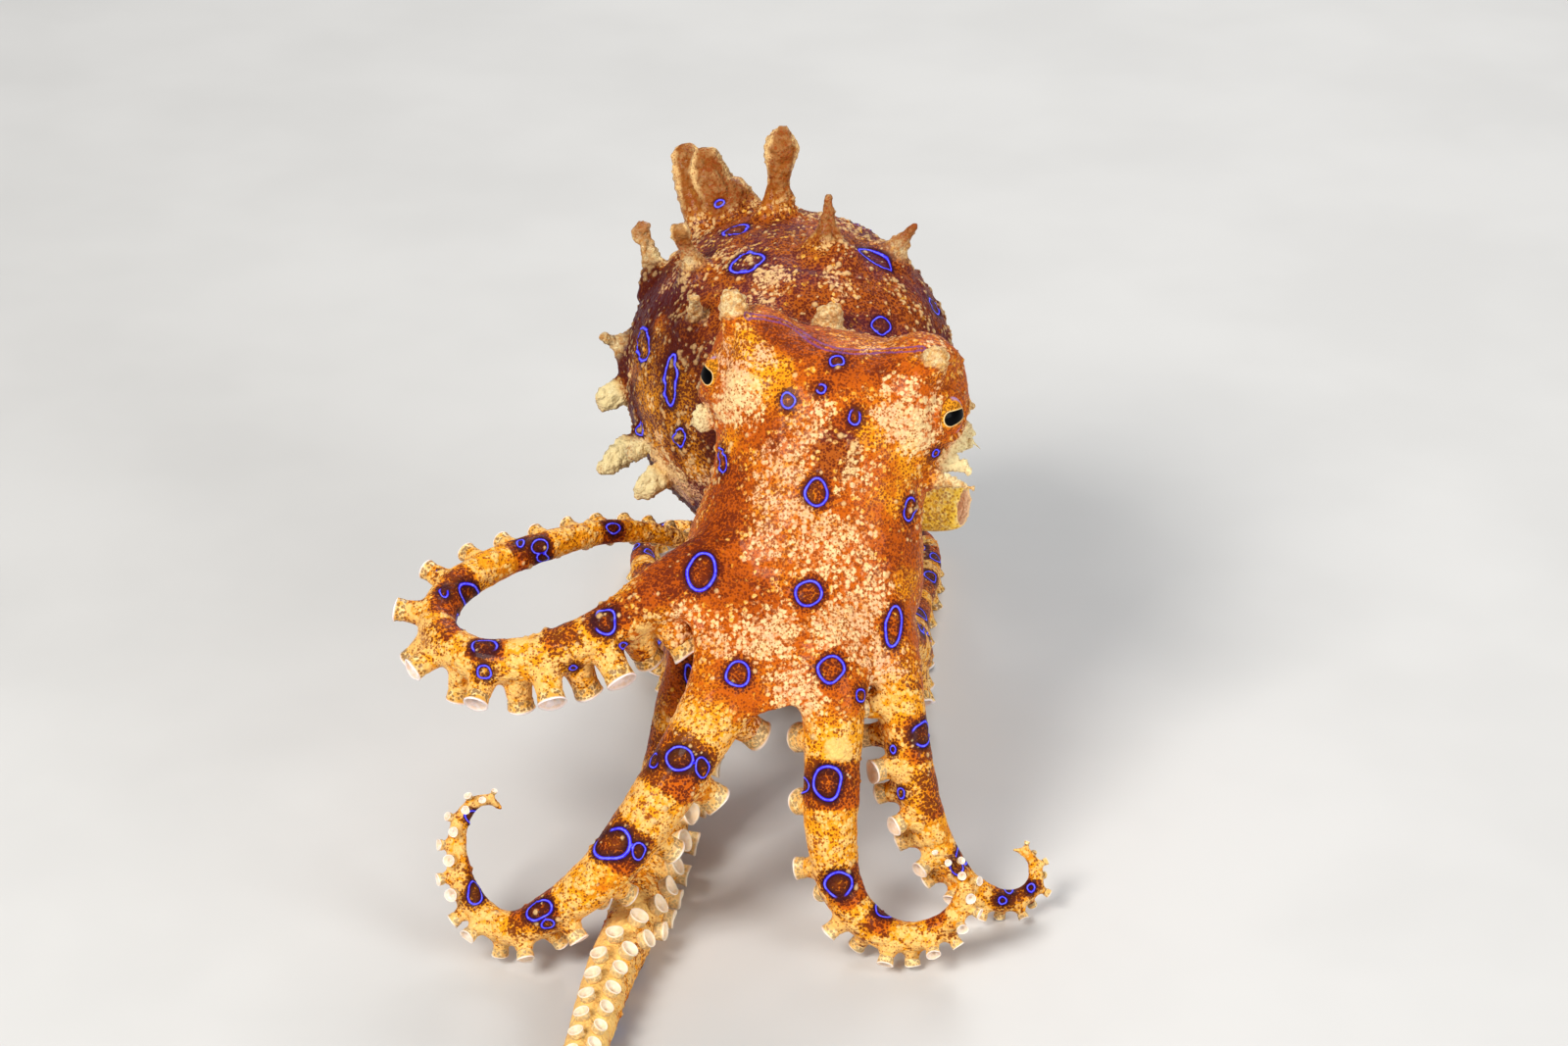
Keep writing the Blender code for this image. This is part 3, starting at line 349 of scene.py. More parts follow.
class Arm:
    """One arm's centre line, with its radius and its suckers' direction at any distance from the mouth."""

    def __init__(self, way, oral, thickness, stretch, pitch=1.0):
        self.stretch = stretch
        self.pitch = pitch
        self.points, self.length = smooth_way(way, ARM_STEP)
        self.at = np.linspace(0, self.length, len(self.points))
        shares, radii = zip(*ARM_TAPER)
        self.radii = (np.interp(self.at, (0, CROWN_REACH), thickness)
                      * np.interp(self.at / self.length, shares, radii))
        self.along = unit(np.gradient(self.points, axis=0))
        oral_shares = [share for share, _ in oral]
        mixed = np.column_stack([np.interp(self.at / self.length, oral_shares, [way[k] for _, way in oral])
                                 for k in range(3)])
        self.faces = unit(mixed - self.along * np.sum(mixed * self.along, axis=1, keepdims=True))

    def read(self, rows, distance):
        """A row of points, directions or radii at a distance from the mouth."""
        rows = rows if rows.ndim > 1 else rows[:, None]
        return np.array([np.interp(distance, self.at, column) for column in rows.T])

    def back(self, distance):
        """The line on the side away from the suckers from which the web grows."""
        face = unit(self.read(self.faces, distance))
        return self.read(self.points, distance) - face * self.read(self.radii, distance) * WEB_HEIGHT


arms = {name: Arm(*ARMS[name]) for name in ARMS_IN_TURN}
for arm in arms.values():
    across = np.cross(arm.faces, arm.along)
    flesh.append(shell(tube(arm.points, arm.radii, arm.faces, across, ARM_SIDES, 1 - ARM_FLATNESS)))

for name, following in zip(ARMS_IN_TURN, ARMS_IN_TURN[1:] + ARMS_IN_TURN[:1]):
    first, second = arms[name], arms[following]
    sheet = np.zeros((WEB_ROWS + 1, WEB_COLUMNS + 1, 3))
    outward = np.zeros_like(sheet)
    for i in range(WEB_ROWS + 1):
        for j in range(WEB_COLUMNS + 1):
            across = j / WEB_COLUMNS
            middle = math.sin(math.pi * across)
            share = i / WEB_ROWS
            reach = WEB_START + (WEB_REACH - WEB_START) * share * (1 - WEB_SCALLOP * middle * share)
            out = -unit(first.read(first.faces, reach) + second.read(second.faces, reach))
            sheet[i, j] = ((1 - across) * first.back(reach) + across * second.back(reach)
                           + out * WEB_SWELL * middle)
            outward[i, j] = out
    inner = (sheet - outward * WEB_THICKNESS / 2)[:, ::-1]
    flesh.append(shell(np.concatenate([sheet + outward * WEB_THICKNESS / 2, inner], axis=1)))

# The bare body: the shells are drawn together into one surface, and its creases are softened. The web and
# the roots of the arms run into one another, the neck keeps a fold, and the free arms keep their shape.
BODY_VOXEL = 0.4
FIRM_ROUNDS = 5
WEB_ROUNDS = 26
NECK_SOFTNESS = 0.25
WEB_FADE = 5.0
WEB_HEAD_START = 8.0
NECK_HEIGHTS = (20, 24)


def surface(shells, voxel):
    """One closed surface round all the shells, as points and four-sided faces."""
    points, faces, start = [], [], 0
    for shell_points, shell_faces in shells:
        points.append(shell_points)
        faces += [[corner + start for corner in face] for face in shell_faces]
        start += len(shell_points)
    mesh = bpy.data.meshes.new("shells")
    mesh.from_pydata(np.concatenate(points).tolist(), [], faces)
    holder = bpy.data.objects.new("shells", mesh)
    bpy.context.scene.collection.objects.link(holder)
    step = holder.modifiers.new("surface", "REMESH")
    step.mode = "VOXEL"
    step.voxel_size = voxel
    drawn = bpy.data.meshes.new_from_object(holder.evaluated_get(bpy.context.evaluated_depsgraph_get()))
    bpy.data.objects.remove(holder, do_unlink=True)
    points = np.zeros(len(drawn.vertices) * 3, np.float32)
    drawn.vertices.foreach_get("co", points)
    corners = np.zeros(len(drawn.loops), np.int32)
    drawn.loops.foreach_get("vertex_index", corners)
    return largest_piece(points.reshape(-1, 3).astype(float), corners.reshape(-1, 4))


def edges_of(faces):
    pairs = np.concatenate([faces[:, [k, (k + 1) % 4]] for k in range(4)])
    return np.unique(np.sort(pairs, axis=1), axis=0)


def largest_piece(points, faces):
    """Drops whatever isn't joined to the main surface, such as a sealed hollow."""
    edges = edges_of(faces)
    label = np.arange(len(points))
    while True:
        lowest = np.minimum(label[edges[:, 0]], label[edges[:, 1]])
        joined = label.copy()
        np.minimum.at(joined, label[edges[:, 0]], lowest)
        np.minimum.at(joined, label[edges[:, 1]], lowest)
        joined = joined[joined]
        if np.array_equal(joined, label):
            break
        label = joined
    kept = label == np.bincount(label).argmax()
    number = np.cumsum(kept) - 1
    return points[kept], number[faces[kept[faces[:, 0]]]]


def softened(points, edges, weight, rounds):
    """Moves each point towards the middle of its neighbours by its weight, round after round."""
    count = len(points)
    near = np.bincount(edges.ravel(), minlength=count)[:, None]
    weight = np.broadcast_to(weight, count)[:, None]
    for _ in range(rounds):
        total = np.column_stack([
            np.bincount(edges[:, 0], points[edges[:, 1], k], count)
            + np.bincount(edges[:, 1], points[edges[:, 0], k], count) for k in range(3)])
        points = points + weight * (total / near - points)
    return points


def ramp(value, low, high):
    """0 below low and 1 above high, with smooth ends; it falls where low is above high."""
    share = np.clip((np.asarray(value, float) - low) / (high - low), 0, 1)
    return share * share * (3 - 2 * share)


def finder_of(points):
    """A finder of the points that lie nearest to a place."""
    finder = kdtree.KDTree(len(points))
    for i, point in enumerate(points):
        finder.insert(point, i)
    finder.balance()
    return finder


arm_points = np.concatenate([arm.points for arm in arms.values()])
arm_at = np.concatenate([arm.at for arm in arms.values()])
arm_number = np.concatenate([np.full(len(arm.points), i) for i, arm in enumerate(arms.values())])
arm_finder = finder_of(arm_points)


def nearest(finder, points):
    """For each point the number of the nearest one that the finder holds, and the distance to it."""
    _, numbers, distances = zip(*[finder.find(point) for point in points])
    return np.array(numbers), np.array(distances)


body, body_faces = surface(flesh, BODY_VOXEL)
body_edges = edges_of(body_faces)
sample, _ = nearest(arm_finder, body)
head_along = (body - EYE_MIDPOINT) @ HEAD_AXIS
web = ramp(arm_at[sample], CROWN_REACH + WEB_FADE, CROWN_REACH) * ramp(head_along, 0.0, WEB_HEAD_START)
body = softened(body, body_edges, 0.5, FIRM_ROUNDS)
neck = NECK_SOFTNESS * ramp(body[:, 2], *NECK_HEIGHTS)
body = softened(body, body_edges, 0.6 * np.maximum(web, neck), WEB_ROUNDS)

# The papillae: soft points of skin that the animal raises at will. The tall ones over the mantle end in a
# thin horn, a knob or a paddle, and those below the eyes and at the left of the mantle are pale lobes.
# shape: share of the height and of the root's half width, from below the skin to the tip.
PAPILLA_SHAPES = {
    "horn": ((-0.3, 2.1), (-0.04, 1.6), (0.1, 1.08), (0.26, 0.72), (0.5, 0.42), (0.8, 0.26), (0.96, 0.17),
             (1.0, 0.05)),
    "fin": ((-0.25, 1.6), (0.0, 1.25), (0.25, 1.1), (0.55, 1.02), (0.8, 0.85), (0.93, 0.6), (1.0, 0.12)),
    "paddle": ((-0.2, 1.75), (0.0, 1.25), (0.16, 0.85), (0.38, 0.58), (0.56, 0.72), (0.76, 0.92),
               (0.92, 0.56), (1.0, 0.12)),
    "knob": ((-0.3, 1.9), (-0.02, 1.3), (0.22, 0.7), (0.6, 0.44), (0.82, 0.56), (0.95, 0.42), (1.0, 0.08)),
    "lobe": ((-0.3, 1.25), (0.0, 1.0), (0.3, 0.9), (0.6, 0.85), (0.85, 0.68), (0.96, 0.36), (1.0, 0.08)),
    "leaf": ((-0.3, 1.0), (0.0, 0.85), (0.35, 1.0), (0.65, 0.85), (0.88, 0.55), (0.97, 0.25), (1.0, 0.06)),
}
PAPILLA_FLATNESS = 0.72
PAPILLA_SIDES = 28
PAPILLA_STEP = 0.15
# Share of the mantle, degrees round from the top to the left, height, half width of the root, how far it
# leans towards the head and round the mantle, and its shape.
MANTLE_PAPILLAE = (
    (0.22, -26, 8.0, 1.75, (-0.2, 0.2), "fin"),
    (0.2, -20, 6.8, 1.75, (0.0, 0.1), "fin"),
    (0.18, -14, 3.6, 1.9, (-0.15, -0.2), "fin"),
    (-0.07, -3, 7.8, 1.7, (-0.05, 0.15), "paddle"),
    (-0.5, 10, 4.6, 1.8, (-0.35, -0.1), "horn"),
    (-0.34, 36, 4.0, 1.7, (0.15, 0.0), "horn"),
    (0.19, -51, 4.8, 1.4, (-0.2, 0.6), "knob"),
    (-0.36, -38, 5.0, 1.5, (0.05, 0.3), "knob"),
    (-0.61, -50, 3.4, 1.0, (0.35, 0.7), "knob"),
    (-0.88, 11, 2.8, 1.3, (-0.45, -0.3), "lobe"),
    (0.05, -78, 2.8, 1.5, (0.15, 0.25), "horn"),
    (0.02, -92, 3.0, 1.3, (0.05, -0.5), "lobe"),
    (-0.15, -108, 4.8, 1.15, (0.25, -0.25), "leaf"),
    (-0.46, -116, 3.4, 1.2, (-0.1, -0.15), "leaf"),
    (-0.3, -104, 2.4, 1.0, (0.35, -1.0), "lobe"),
    (0.6, -62, 2.3, 0.9, (0.0, 0.0), "horn"),
    (0.84, -28, 2.7, 1.0, (0.0, 0.0), "horn"),
    (0.86, 40, 2.7, 1.0, (0.0, 0.0), "knob"),
    (0.58, 64, 3.5, 1.2, (0.0, 0.0), "horn"),
    (0.5, 98, 3.3, 1.1, (0.0, 0.0), "knob"),
    (0.2, 124, 3.3, 1.1, (0.0, 0.0), "lobe"),
    (0.62, -118, 2.7, 1.0, (0.0, 0.0), "lobe"),
)
# A point inside the head (left, top, along), the way out, height, half width of the root, and its shape.
HEAD_PAPILLAE = (
    ((-6.8, 2.0, 0.2), (-0.35, 0.45, -1.0), 2.6, 1.2, "lobe"),
    ((7.3, 3.6, 0.9), (0.2, 0.35, -1.0), 1.9, 1.1, "lobe"),
    ((-6.6, -0.4, 3.2), (-1.0, 0.0, -0.4), 2.6, 1.1, "leaf"),
    ((-6.6, -0.2, 2.8), (-1.0, 0.1, 0.3), 2.3, 1.0, "leaf"),
    ((6.9, -1.0, -0.6), (1.0, -0.1, -0.1), 1.0, 0.8, "horn"),
    ((6.6, -1.2, 0.6), (1.0, -0.1, 0.1), 1.9, 1.1, "horn"),
    ((6.6, -1.0, 1.4), (1.0, -0.1, 0.15), 2.6, 1.4, "horn"),
    ((6.6, -0.8, 2.7), (1.0, 0.0, 0.3), 3.0, 1.5, "horn"),
    ((6.0, 0.4, 5.0), (1.0, 0.1, 0.1), 4.0, 1.0, "horn"),
)


def mesh_from(name, points, faces):
    made = bpy.data.meshes.new(name)
    made.vertices.add(len(points))
    made.vertices.foreach_set("co", np.asarray(points, np.float32).ravel())
    made.loops.add(faces.size)
    made.loops.foreach_set("vertex_index", faces.astype(np.int32).ravel())
    made.polygons.add(len(faces))
    made.polygons.foreach_set("loop_start", np.arange(0, faces.size, faces.shape[1], dtype=np.int32))
    made.update(calc_edges=True)
    return made


def object_from(name, mesh):
    made = bpy.data.objects.new(name, mesh)
    bpy.context.scene.collection.objects.link(made)
    return made


body_probe = object_from("body_probe", mesh_from("body_probe", body, body_faces))
bpy.context.view_layer.update()


def skin_point(inside, out):
    """Where the way out from a point inside the body meets its skin."""
    far = 20.0
    hit, point, _, _ = body_probe.ray_cast(Vector(inside + out * far), Vector(-out))
    if not hit:
        raise ValueError("a papilla's line misses the body")
    return np.array(point)


papilla_lines = []


def papilla(root, ahead, height, width, shape):
    """Adds a tapering form with its root below the skin, a little flattened."""
    shares, widths = zip(*PAPILLA_SHAPES[shape])
    outline = np.column_stack([np.array(shares) * height, np.array(widths) * width])
    at, _ = smooth_way(outline, PAPILLA_STEP)
    line = root + np.multiply.outer(at[:, 0], ahead)
    side = np.array((1.0, 0.1, 0.0)) if abs(ahead[0]) < 0.8 else np.array((0.0, 0.3, 1.0))
    _, first, second = tube_frames(line, np.cross(side, ahead))
    flesh.append(shell(tube(line, at[:, 1], first, second, PAPILLA_SIDES, PAPILLA_FLATNESS)))
    papilla_lines.append((root, root + ahead * height, width, shape))


flesh = [(body, body_faces.tolist())]
nudge = 0.02
for share, degrees, height, width, lean, shape in MANTLE_PAPILLAE:
    angle = math.radians(degrees)
    root = mantle_point(share, angle)
    slope = unit(mantle_point(share - nudge, angle) - mantle_point(share + nudge, angle))
    out = unit(mantle_point(share, angle, 1.0) - root)
    outward = unit(np.cross(np.cross(slope, out), slope))
    ahead = unit(outward + slope * lean[0] + np.cross(outward, slope) * lean[1])
    papilla(root, ahead, height, width, shape)
for (left, top, along), way, height, width, shape in HEAD_PAPILLAE:
    out = unit(HEAD_LEFT * way[0] + HEAD_TOP * way[1] + HEAD_AXIS * way[2])
    papilla(skin_point(head_point(along, left, top), out), out, height, width, shape)

# The suckers' stalks: two rows of short soft columns along the inner side of each arm, turn and turn about.
# They are flesh like the arm, and each one widens into the cup that is made further down.
SUCKERS_START = 8.0
SUCKERS_END = 0.8
SUCKER_STEP = 1.04
SUCKER_LEAST_STEP = 0.75
SUCKER_SPLAY = 0.42
SUCKER_SLACK = 0.55
# Height above the arm's centre line and half width, as shares of the arm's radius there.
STALK_PROFILE = ((0.3, 0.6), (0.85, 0.57), (1.1, 0.54), (1.35, 0.51), (1.6, 0.5))
STALK_SIDES = 24
STALK_SHORTENING = 0.85
STALK_FOLDS = (0.85, 1.6)


def held_out(heights, stretch):
    """Heights on a sucker, drawn in towards the arm where it isn't stretched to its full length."""
    low, high = STALK_FOLDS
    return heights - STALK_SHORTENING * (1 - stretch) * np.clip((heights - low) / (high - low), 0, 1)


def sucker_width(size, stretch):
    """The width to which a sucker's shares belong: less where it isn't held out."""
    return size * (SUCKER_SLACK + (1 - SUCKER_SLACK) * stretch)


suckers = []
for arm in arms.values():
    distance = SUCKERS_START
    side = 1
    while distance < arm.length - SUCKERS_END:
        size = arm.read(arm.radii, distance)[0]
        along = unit(arm.read(arm.along, distance))
        face = unit(arm.read(arm.faces, distance))
        lean = unit(face + np.cross(face, along) * side * SUCKER_SPLAY)
        first = square_to(lean, along)
        suckers.append((arm.read(arm.points, distance), lean, first, size, arm.stretch))
        distance += max(SUCKER_LEAST_STEP, SUCKER_STEP * size * arm.pitch)
        side = -side

for foot, lean, first, size, stretch in suckers:
    heights, widths = np.array(STALK_PROFILE).T
    heights, widths = held_out(heights, stretch) * size, widths * sucker_width(size, stretch)
    line = foot + np.multiply.outer(heights, lean)
    firsts = np.broadcast_to(first, line.shape)
    flesh.append(shell(tube(line, widths, firsts, np.cross(firsts, lean), STALK_SIDES)))

# The eyes' places: each ball is sunk in the side of the head, so that only its front shows between the lids.
EYE_RADIUS = 2.15
# How far each eye's centre lies to its side, towards the head's top and along the head, and the way that its
# pupil looks in the same three directions.
EYE_PLACE = (8.75, 1.4, 0.3)
EYE_LOOK = (0.86, 0.5, -0.08)
LID_OPENING = math.radians(47)
# The skin's distance from the eye's centre, less the eye's radius, at shares of the opening's half angle.
LID_PROFILE = ((0.0, -0.6), (0.8, -0.55), (0.95, -0.1), (1.02, 0.2), (1.14, 0.42), (1.3, 0.4))
LID_FADE = (1.2, 1.8)
LID_EDGE = (1.1, 1.5)
LID_REACH = 2.4
PUPIL_TOP = 0.8
PUPIL_RISE = 0.62


def eye_place(side):
    """Centre of an eye, the way it looks, and the way its pupil runs; side is 1 for the animal's left."""
    out, top, along = EYE_LOOK
    look = unit(HEAD_LEFT * side * out + HEAD_TOP * top + HEAD_AXIS * along)
    out, top, along = EYE_PLACE
    level = unit(HEAD_LEFT * -side + HEAD_TOP * PUPIL_TOP + HEAD_AXIS * PUPIL_RISE)
    return head_point(along, side * out, top), look, square_to(look, level)


# The skin: one soft, elastic surface over the whole animal, drawn round all the flesh without a seam. It
# opens round each eye in thick lids, which hold the ball in its place.
SKIN_VOXEL = 0.22
SKIN_ROUNDS = 3

skin_points, skin_faces = surface(flesh, SKIN_VOXEL)
skin_edges = edges_of(skin_faces)
skin_points = softened(skin_points, skin_edges, 0.5, SKIN_ROUNDS)
bpy.data.objects.remove(body_probe)

lid = np.zeros(len(skin_points))
for side in (-1, 1):
    centre, look, _ = eye_place(side)
    offset = skin_points - centre
    reach = np.linalg.norm(offset, axis=1)
    share = np.arccos(np.clip(offset @ look / reach, -1, 1)) / LID_OPENING
    near = reach < EYE_RADIUS * LID_REACH
    fitted = EYE_RADIUS + np.interp(share, *zip(*LID_PROFILE))
    weight = ramp(share, LID_FADE[1], LID_FADE[0]) * near
    skin_points += offset * (weight * (fitted / reach - 1))[:, None]
    lid = np.maximum(lid, near * ramp(share, LID_EDGE[1], LID_EDGE[0]))


def normals_of(points, faces):
    corners = points[faces]
    square = np.cross(corners[:, 2] - corners[:, 0], corners[:, 3] - corners[:, 1])
    total = np.column_stack([
        sum(np.bincount(faces[:, k], square[:, axis], len(points)) for k in range(4)) for axis in range(3)])
    return unit(total + 1e-12)


# What each place on the skin belongs to, from how deep it lies in the shape of each part of the body.
skin_normals = normals_of(skin_points, skin_faces)
sample, arm_distance = nearest(arm_finder, skin_points)
arm_radii = np.concatenate([arm.radii for arm in arms.values()])
arm_faces = np.concatenate([arm.faces for arm in arms.values()])
in_arm = arm_distance / arm_radii[sample]
skin_at = arm_at[sample]
skin_arm = arm_number[sample]

from_mantle = skin_points - MANTLE_CENTRE
mantle_share = from_mantle @ MANTLE_BACK / MANTLE_HALF_LENGTH
mantle_fullness = np.where(mantle_share < 0, MANTLE_FRONT_FULLNESS, MANTLE_TIP_FULLNESS)
mantle_width = MANTLE_RADIUS * np.sqrt(np.clip(1 - np.abs(mantle_share) ** mantle_fullness, 0.02, 1))
in_mantle = np.hypot(from_mantle @ MANTLE_LEFT, from_mantle @ MANTLE_UP) / mantle_width

HEAD_ENDS = (-4.5, 20.0)
from_head = skin_points - EYE_MIDPOINT
head_along = from_head @ HEAD_AXIS
station_columns = np.array(HEAD_STATIONS).T
head_width, head_depth, head_shift = (np.interp(head_along, station_columns[0], column)
                                      for column in station_columns[1:])
in_head = np.hypot(from_head @ HEAD_LEFT / head_width, (from_head @ HEAD_TOP + head_shift) / head_depth)
in_head += np.maximum(0, HEAD_ENDS[0] - head_along) + np.maximum(0, head_along - HEAD_ENDS[1])

funnel_sample, funnel_distance = nearest(finder_of(funnel_line), skin_points)
in_funnel = funnel_distance / funnel_radii[funnel_sample]

papilla_share = np.zeros(len(skin_points))
papilla_edge = np.ones(len(skin_points))
for root, tip, width, shape in papilla_lines:
    ahead = tip - root
    height = np.linalg.norm(ahead)
    along = (skin_points - root) @ ahead / height ** 2
    aside = np.linalg.norm(skin_points - root - np.multiply.outer(along, ahead), axis=1)
    inside = (along > -0.1) & (along < 1.2) & (aside < width * 1.3)
    papilla_share = np.maximum(papilla_share, inside * np.clip(along, 0, 1))
    there = width * np.interp(along, *zip(*PAPILLA_SHAPES[shape]))
    edge = ramp(aside / there, 0.8, 0.97) * ramp(along, 0.1, 0.35)
    papilla_edge = np.where(inside, np.minimum(papilla_edge, edge), papilla_edge)

others = np.minimum(np.minimum(in_head, in_arm * 0.9), in_funnel)
on_papilla = ramp(papilla_share * (mantle_share > -1), 0.1, 0.3) * (in_head > 1.15)
on_mantle = np.maximum(ramp(others - in_mantle, -0.06, 0.1), on_papilla)
others = np.minimum(np.minimum(in_head, in_mantle), in_arm)
on_funnel = ramp(others - in_funnel, -0.1, 0.1) * (in_funnel < 1.5)
on_arm = ramp(skin_at, 10.0, 14.0) * ramp(in_mantle, 0.95, 1.1) * (in_funnel > 1.2)
from_line = unit(skin_points - arm_points[sample])
faced = np.sum(from_line * arm_faces[sample], axis=1)
oral = ramp(faced, 0.15, 0.6) * ramp(skin_at, 9.0, 12.0) * (1 - on_mantle) * (1 - on_funnel)

# Papillae high on the mantle are smooth brown horns, and those at its sides and on the head are pale lobes.
crown = on_mantle * ramp(from_mantle @ MANTLE_UP, 11.0, 14.0)
lobe = ramp(papilla_share, 0.1, 0.3) * (1 - crown)

# Warts: small soft grains of pale skin that stand all over the mantle and along the sides of the head, and
# thinly over the rest. They swell out of the skin, and their places and sizes come from one seeded draw.
WART_COUNT = 6200
WART_SEED = 7
WART_RADII = (0.22, 0.5)
WART_HEIGHT = 0.6
CLUSTER_SCALE = 0.32

skin_finder = finder_of(skin_points)

draw = np.random.default_rng(WART_SEED)
head_side = (ramp(np.abs(from_head @ HEAD_LEFT), 6.5, 8.5) * ramp(in_head, 1.3, 1.1)
             * ramp(head_along, 12.0, 8.0))
clusters = ramp([noise.noise(Vector(point * CLUSTER_SCALE)) for point in skin_points], -0.05, 0.4)
chance = (0.05 + on_mantle + 0.9 * head_side + 0.12 * on_arm) * (0.12 + clusters)
chance = np.maximum(chance, lobe * 1.3) * (1 - oral) * (1 - on_funnel) * (lid < 0.2)
wart = np.zeros(len(skin_points))
rise = np.zeros(len(skin_points))
for seat in draw.choice(len(skin_points), WART_COUNT, replace=False, p=chance / chance.sum()):
    radius = WART_RADII[0] + (WART_RADII[1] - WART_RADII[0]) * draw.random() ** 3
    for _, i, distance in skin_finder.find_range(skin_points[seat], radius):
        swell = (1 - (distance / radius) ** 2) ** 2
        wart[i] = max(wart[i], swell)
        rise[i] = max(rise[i], swell * radius * WART_HEIGHT)

# Fine folds over the whole skin, deeper on the mantle. They and the warts lift the skin, but never push it
# through the floor.
FOLD_SIZE = 1.1
FOLD_DEPTH = 0.07
folds = np.array([noise.fractal(Vector(point / FOLD_SIZE), 0.8, 2.2, 3) for point in skin_points])
rise += folds * FOLD_DEPTH * (1 + 0.8 * on_mantle) * (1 - lid) * (1 - 0.6 * oral)
skin_points += skin_normals * rise[:, None]
skin_points[:, 2] = np.maximum(skin_points[:, 2], 0)

# The rings: thin lines of blue in the skin, each round a dark spot. Those that face the camera are placed by
# the picture's pixels along its sight lines, and the rest follow the arms and the mantle on every side.
# A ring: its middle's pixel, its width and height as seen there in mm, its tilt in degrees to the left, and
# the middle and the width in degrees of a gap in its line, counted round from the right.
FACE_RINGS = (
    ((854, 368), (1.25, 1.0)),
    ((838, 396), (0.75, 0.85), 20, (150, 90)),
    ((804, 408), (1.25, 1.3)),
    ((872, 425), (1.0, 1.35), 0, (80, 70)),
    ((833, 502), (1.85, 2.55), -8),
    ((931, 519), (1.0, 2.25), -12, (20, 50)),
    ((737, 469), (0.65, 2.15), 5),
    ((955, 462), (0.45, 0.7), -30),
    ((825, 605), (2.2, 2.3)),
    ((716, 582), (2.5, 3.2), -12),
    ((912, 638), (1.4, 3.5), -6),
    ((753, 687), (2.0, 2.2), 10),
    ((848, 682), (2.2, 2.35)),
    ((703, 688), (0.7, 2.1), 8),
    ((879, 709), (0.8, 1.1)),
)
MANTLE_RINGS_SEEN = (
    ((751, 234), (2.4, 1.0), 17),
    ((762, 267), (3.4, 1.5), 20),
    ((894, 264), (3.7, 1.1), -30),
    ((899, 332), (1.6, 1.75), 35),
    ((734, 207), (1.0, 0.6), 25),
    ((655, 350), (1.2, 3.3), 4),
    ((684, 386), (1.1, 5.8), -3),
    ((653, 436), (0.6, 1.6)),
    ((692, 447), (1.0, 1.6)),
)
ARM_RINGS_SEEN = (
    ((617, 633), (2.0, 2.1), 0, (180, 90)),
    ((636, 658), (0.6, 0.6)),
    ((585, 681), (0.6, 0.5)),
    ((494, 685), (1.2, 1.2)),
    ((494, 658), (2.2, 1.3), 0, (270, 130)),
    ((480, 607), (1.7, 2.7), 35),
    ((453, 603), (0.7, 1.6), 10, (90, 120)),
    ((551, 557), (1.5, 1.3)),
    ((554, 569), (1.0, 0.8)),
    ((531, 553), (0.6, 1.3)),
    ((626, 538), (1.2, 1.0)),
    ((693, 773), (2.4, 2.0), 20),
    ((667, 775), (0.8, 1.9), 5, (0, 120)),
    ((717, 783), (1.1, 1.9), 10),
    ((623, 860), (3.3, 2.5), 25, (130, 70)),
    ((652, 868), (1.1, 1.5)),
    ((548, 927), (2.4, 1.6), 25),
    ((559, 942), (1.1, 0.9)),
    ((485, 910), (1.1, 2.0), 15),
    ((489, 838), (0.9, 1.3)),
    ((844, 798), (2.5, 2.9), 10),
    ((818, 800), (0.7, 1.4)),
    ((856, 902), (2.5, 2.2), 30, (280, 50)),
    ((833, 914), (0.9, 1.1)),
    ((921, 914), (1.6, 1.8), -20, (70, 60)),
    ((943, 748), (1.6, 2.1), 0, (200, 60)),
    ((911, 764), (0.5, 0.7)),
    ((919, 809), (0.6, 1.0)),
    ((992, 867), (2.1, 1.7)),
    ((976, 884), (1.2, 1.4), 0, (90, 110)),
    ((1029, 907), (0.8, 0.7)),
    ((1023, 918), (0.7, 0.7)),
    ((1052, 905), (0.7, 0.7)),
)
# Share of the mantle and degrees round from its top of the rings that the camera doesn't see, with their
# length along the mantle and their width in mm.
MANTLE_RINGS_HIDDEN = (
    (0.28, 62, 4.2, 3.0), (-0.2, 84, 3.6, 2.6), (0.42, 16, 4.6, 3.0), (0.52, -22, 4.0, 2.8),
    (0.72, 36, 3.0, 2.2), (0.74, -48, 2.8, 2.2), (0.36, -74, 3.8, 2.8), (0.2, -112, 3.4, 2.6),
    (0.5, 104, 3.6, 2.6), (0.0, 124, 3.2, 2.4), (0.62, 148, 2.8, 2.0), (0.22, 165, 2.8, 2.2),
    (0.6, -150, 2.8, 2.0), (-0.1, -152, 2.6, 2.0), (0.9, -10, 1.8, 1.5), (0.84, 92, 1.8, 1.5),
    (0.12, 30, 2.2, 1.6), (0.34, -8, 1.8, 1.4), (0.6, 72, 1.4, 1.2), (-0.3, 110, 1.8, 1.4),
    (0.52, -102, 1.6, 1.3), (0.82, -100, 1.6, 1.4), (-0.38, 60, 2.0, 1.6),
)
# The front arms show the camera the picture's rings alone. Elsewhere the rings stand in bands along the arm.
FRONT_ARMS = ("arm_right_1", "arm_right_2", "arm_right_3", "arm_left_1", "arm_left_2")
FACING_CAMERA = 0.1
ARM_RING_SPACING = 8.5
ARM_RINGS_START = 13.0
ARM_RINGS_END = 4.0
ARM_RING_SIZE = 1.05
THICK_ARM = 2.9
ARM_RING_TURN = math.radians(38)
RING_SEED = 11
RING_WAVE = 0.07
RING_REACH = 2.4
# The middle of the line lies at this share of the ring's size as seen over the line.
LINE_MIDDLE = 0.9
# Half the width of the line: share of the ring's size, between two limits in mm.
RING_LINE_SHARE = 0.047
RING_LINE_LEAST = 0.075
RING_LINE_MOST = 0.125
# The most that a ring's length is of its width, on the head and mantle and on an arm.
LONGEST_RING = 2.8
LONGEST_ARM_RING = 1.8
# What skin far from every ring holds as its distance.
NO_RING = 9.0

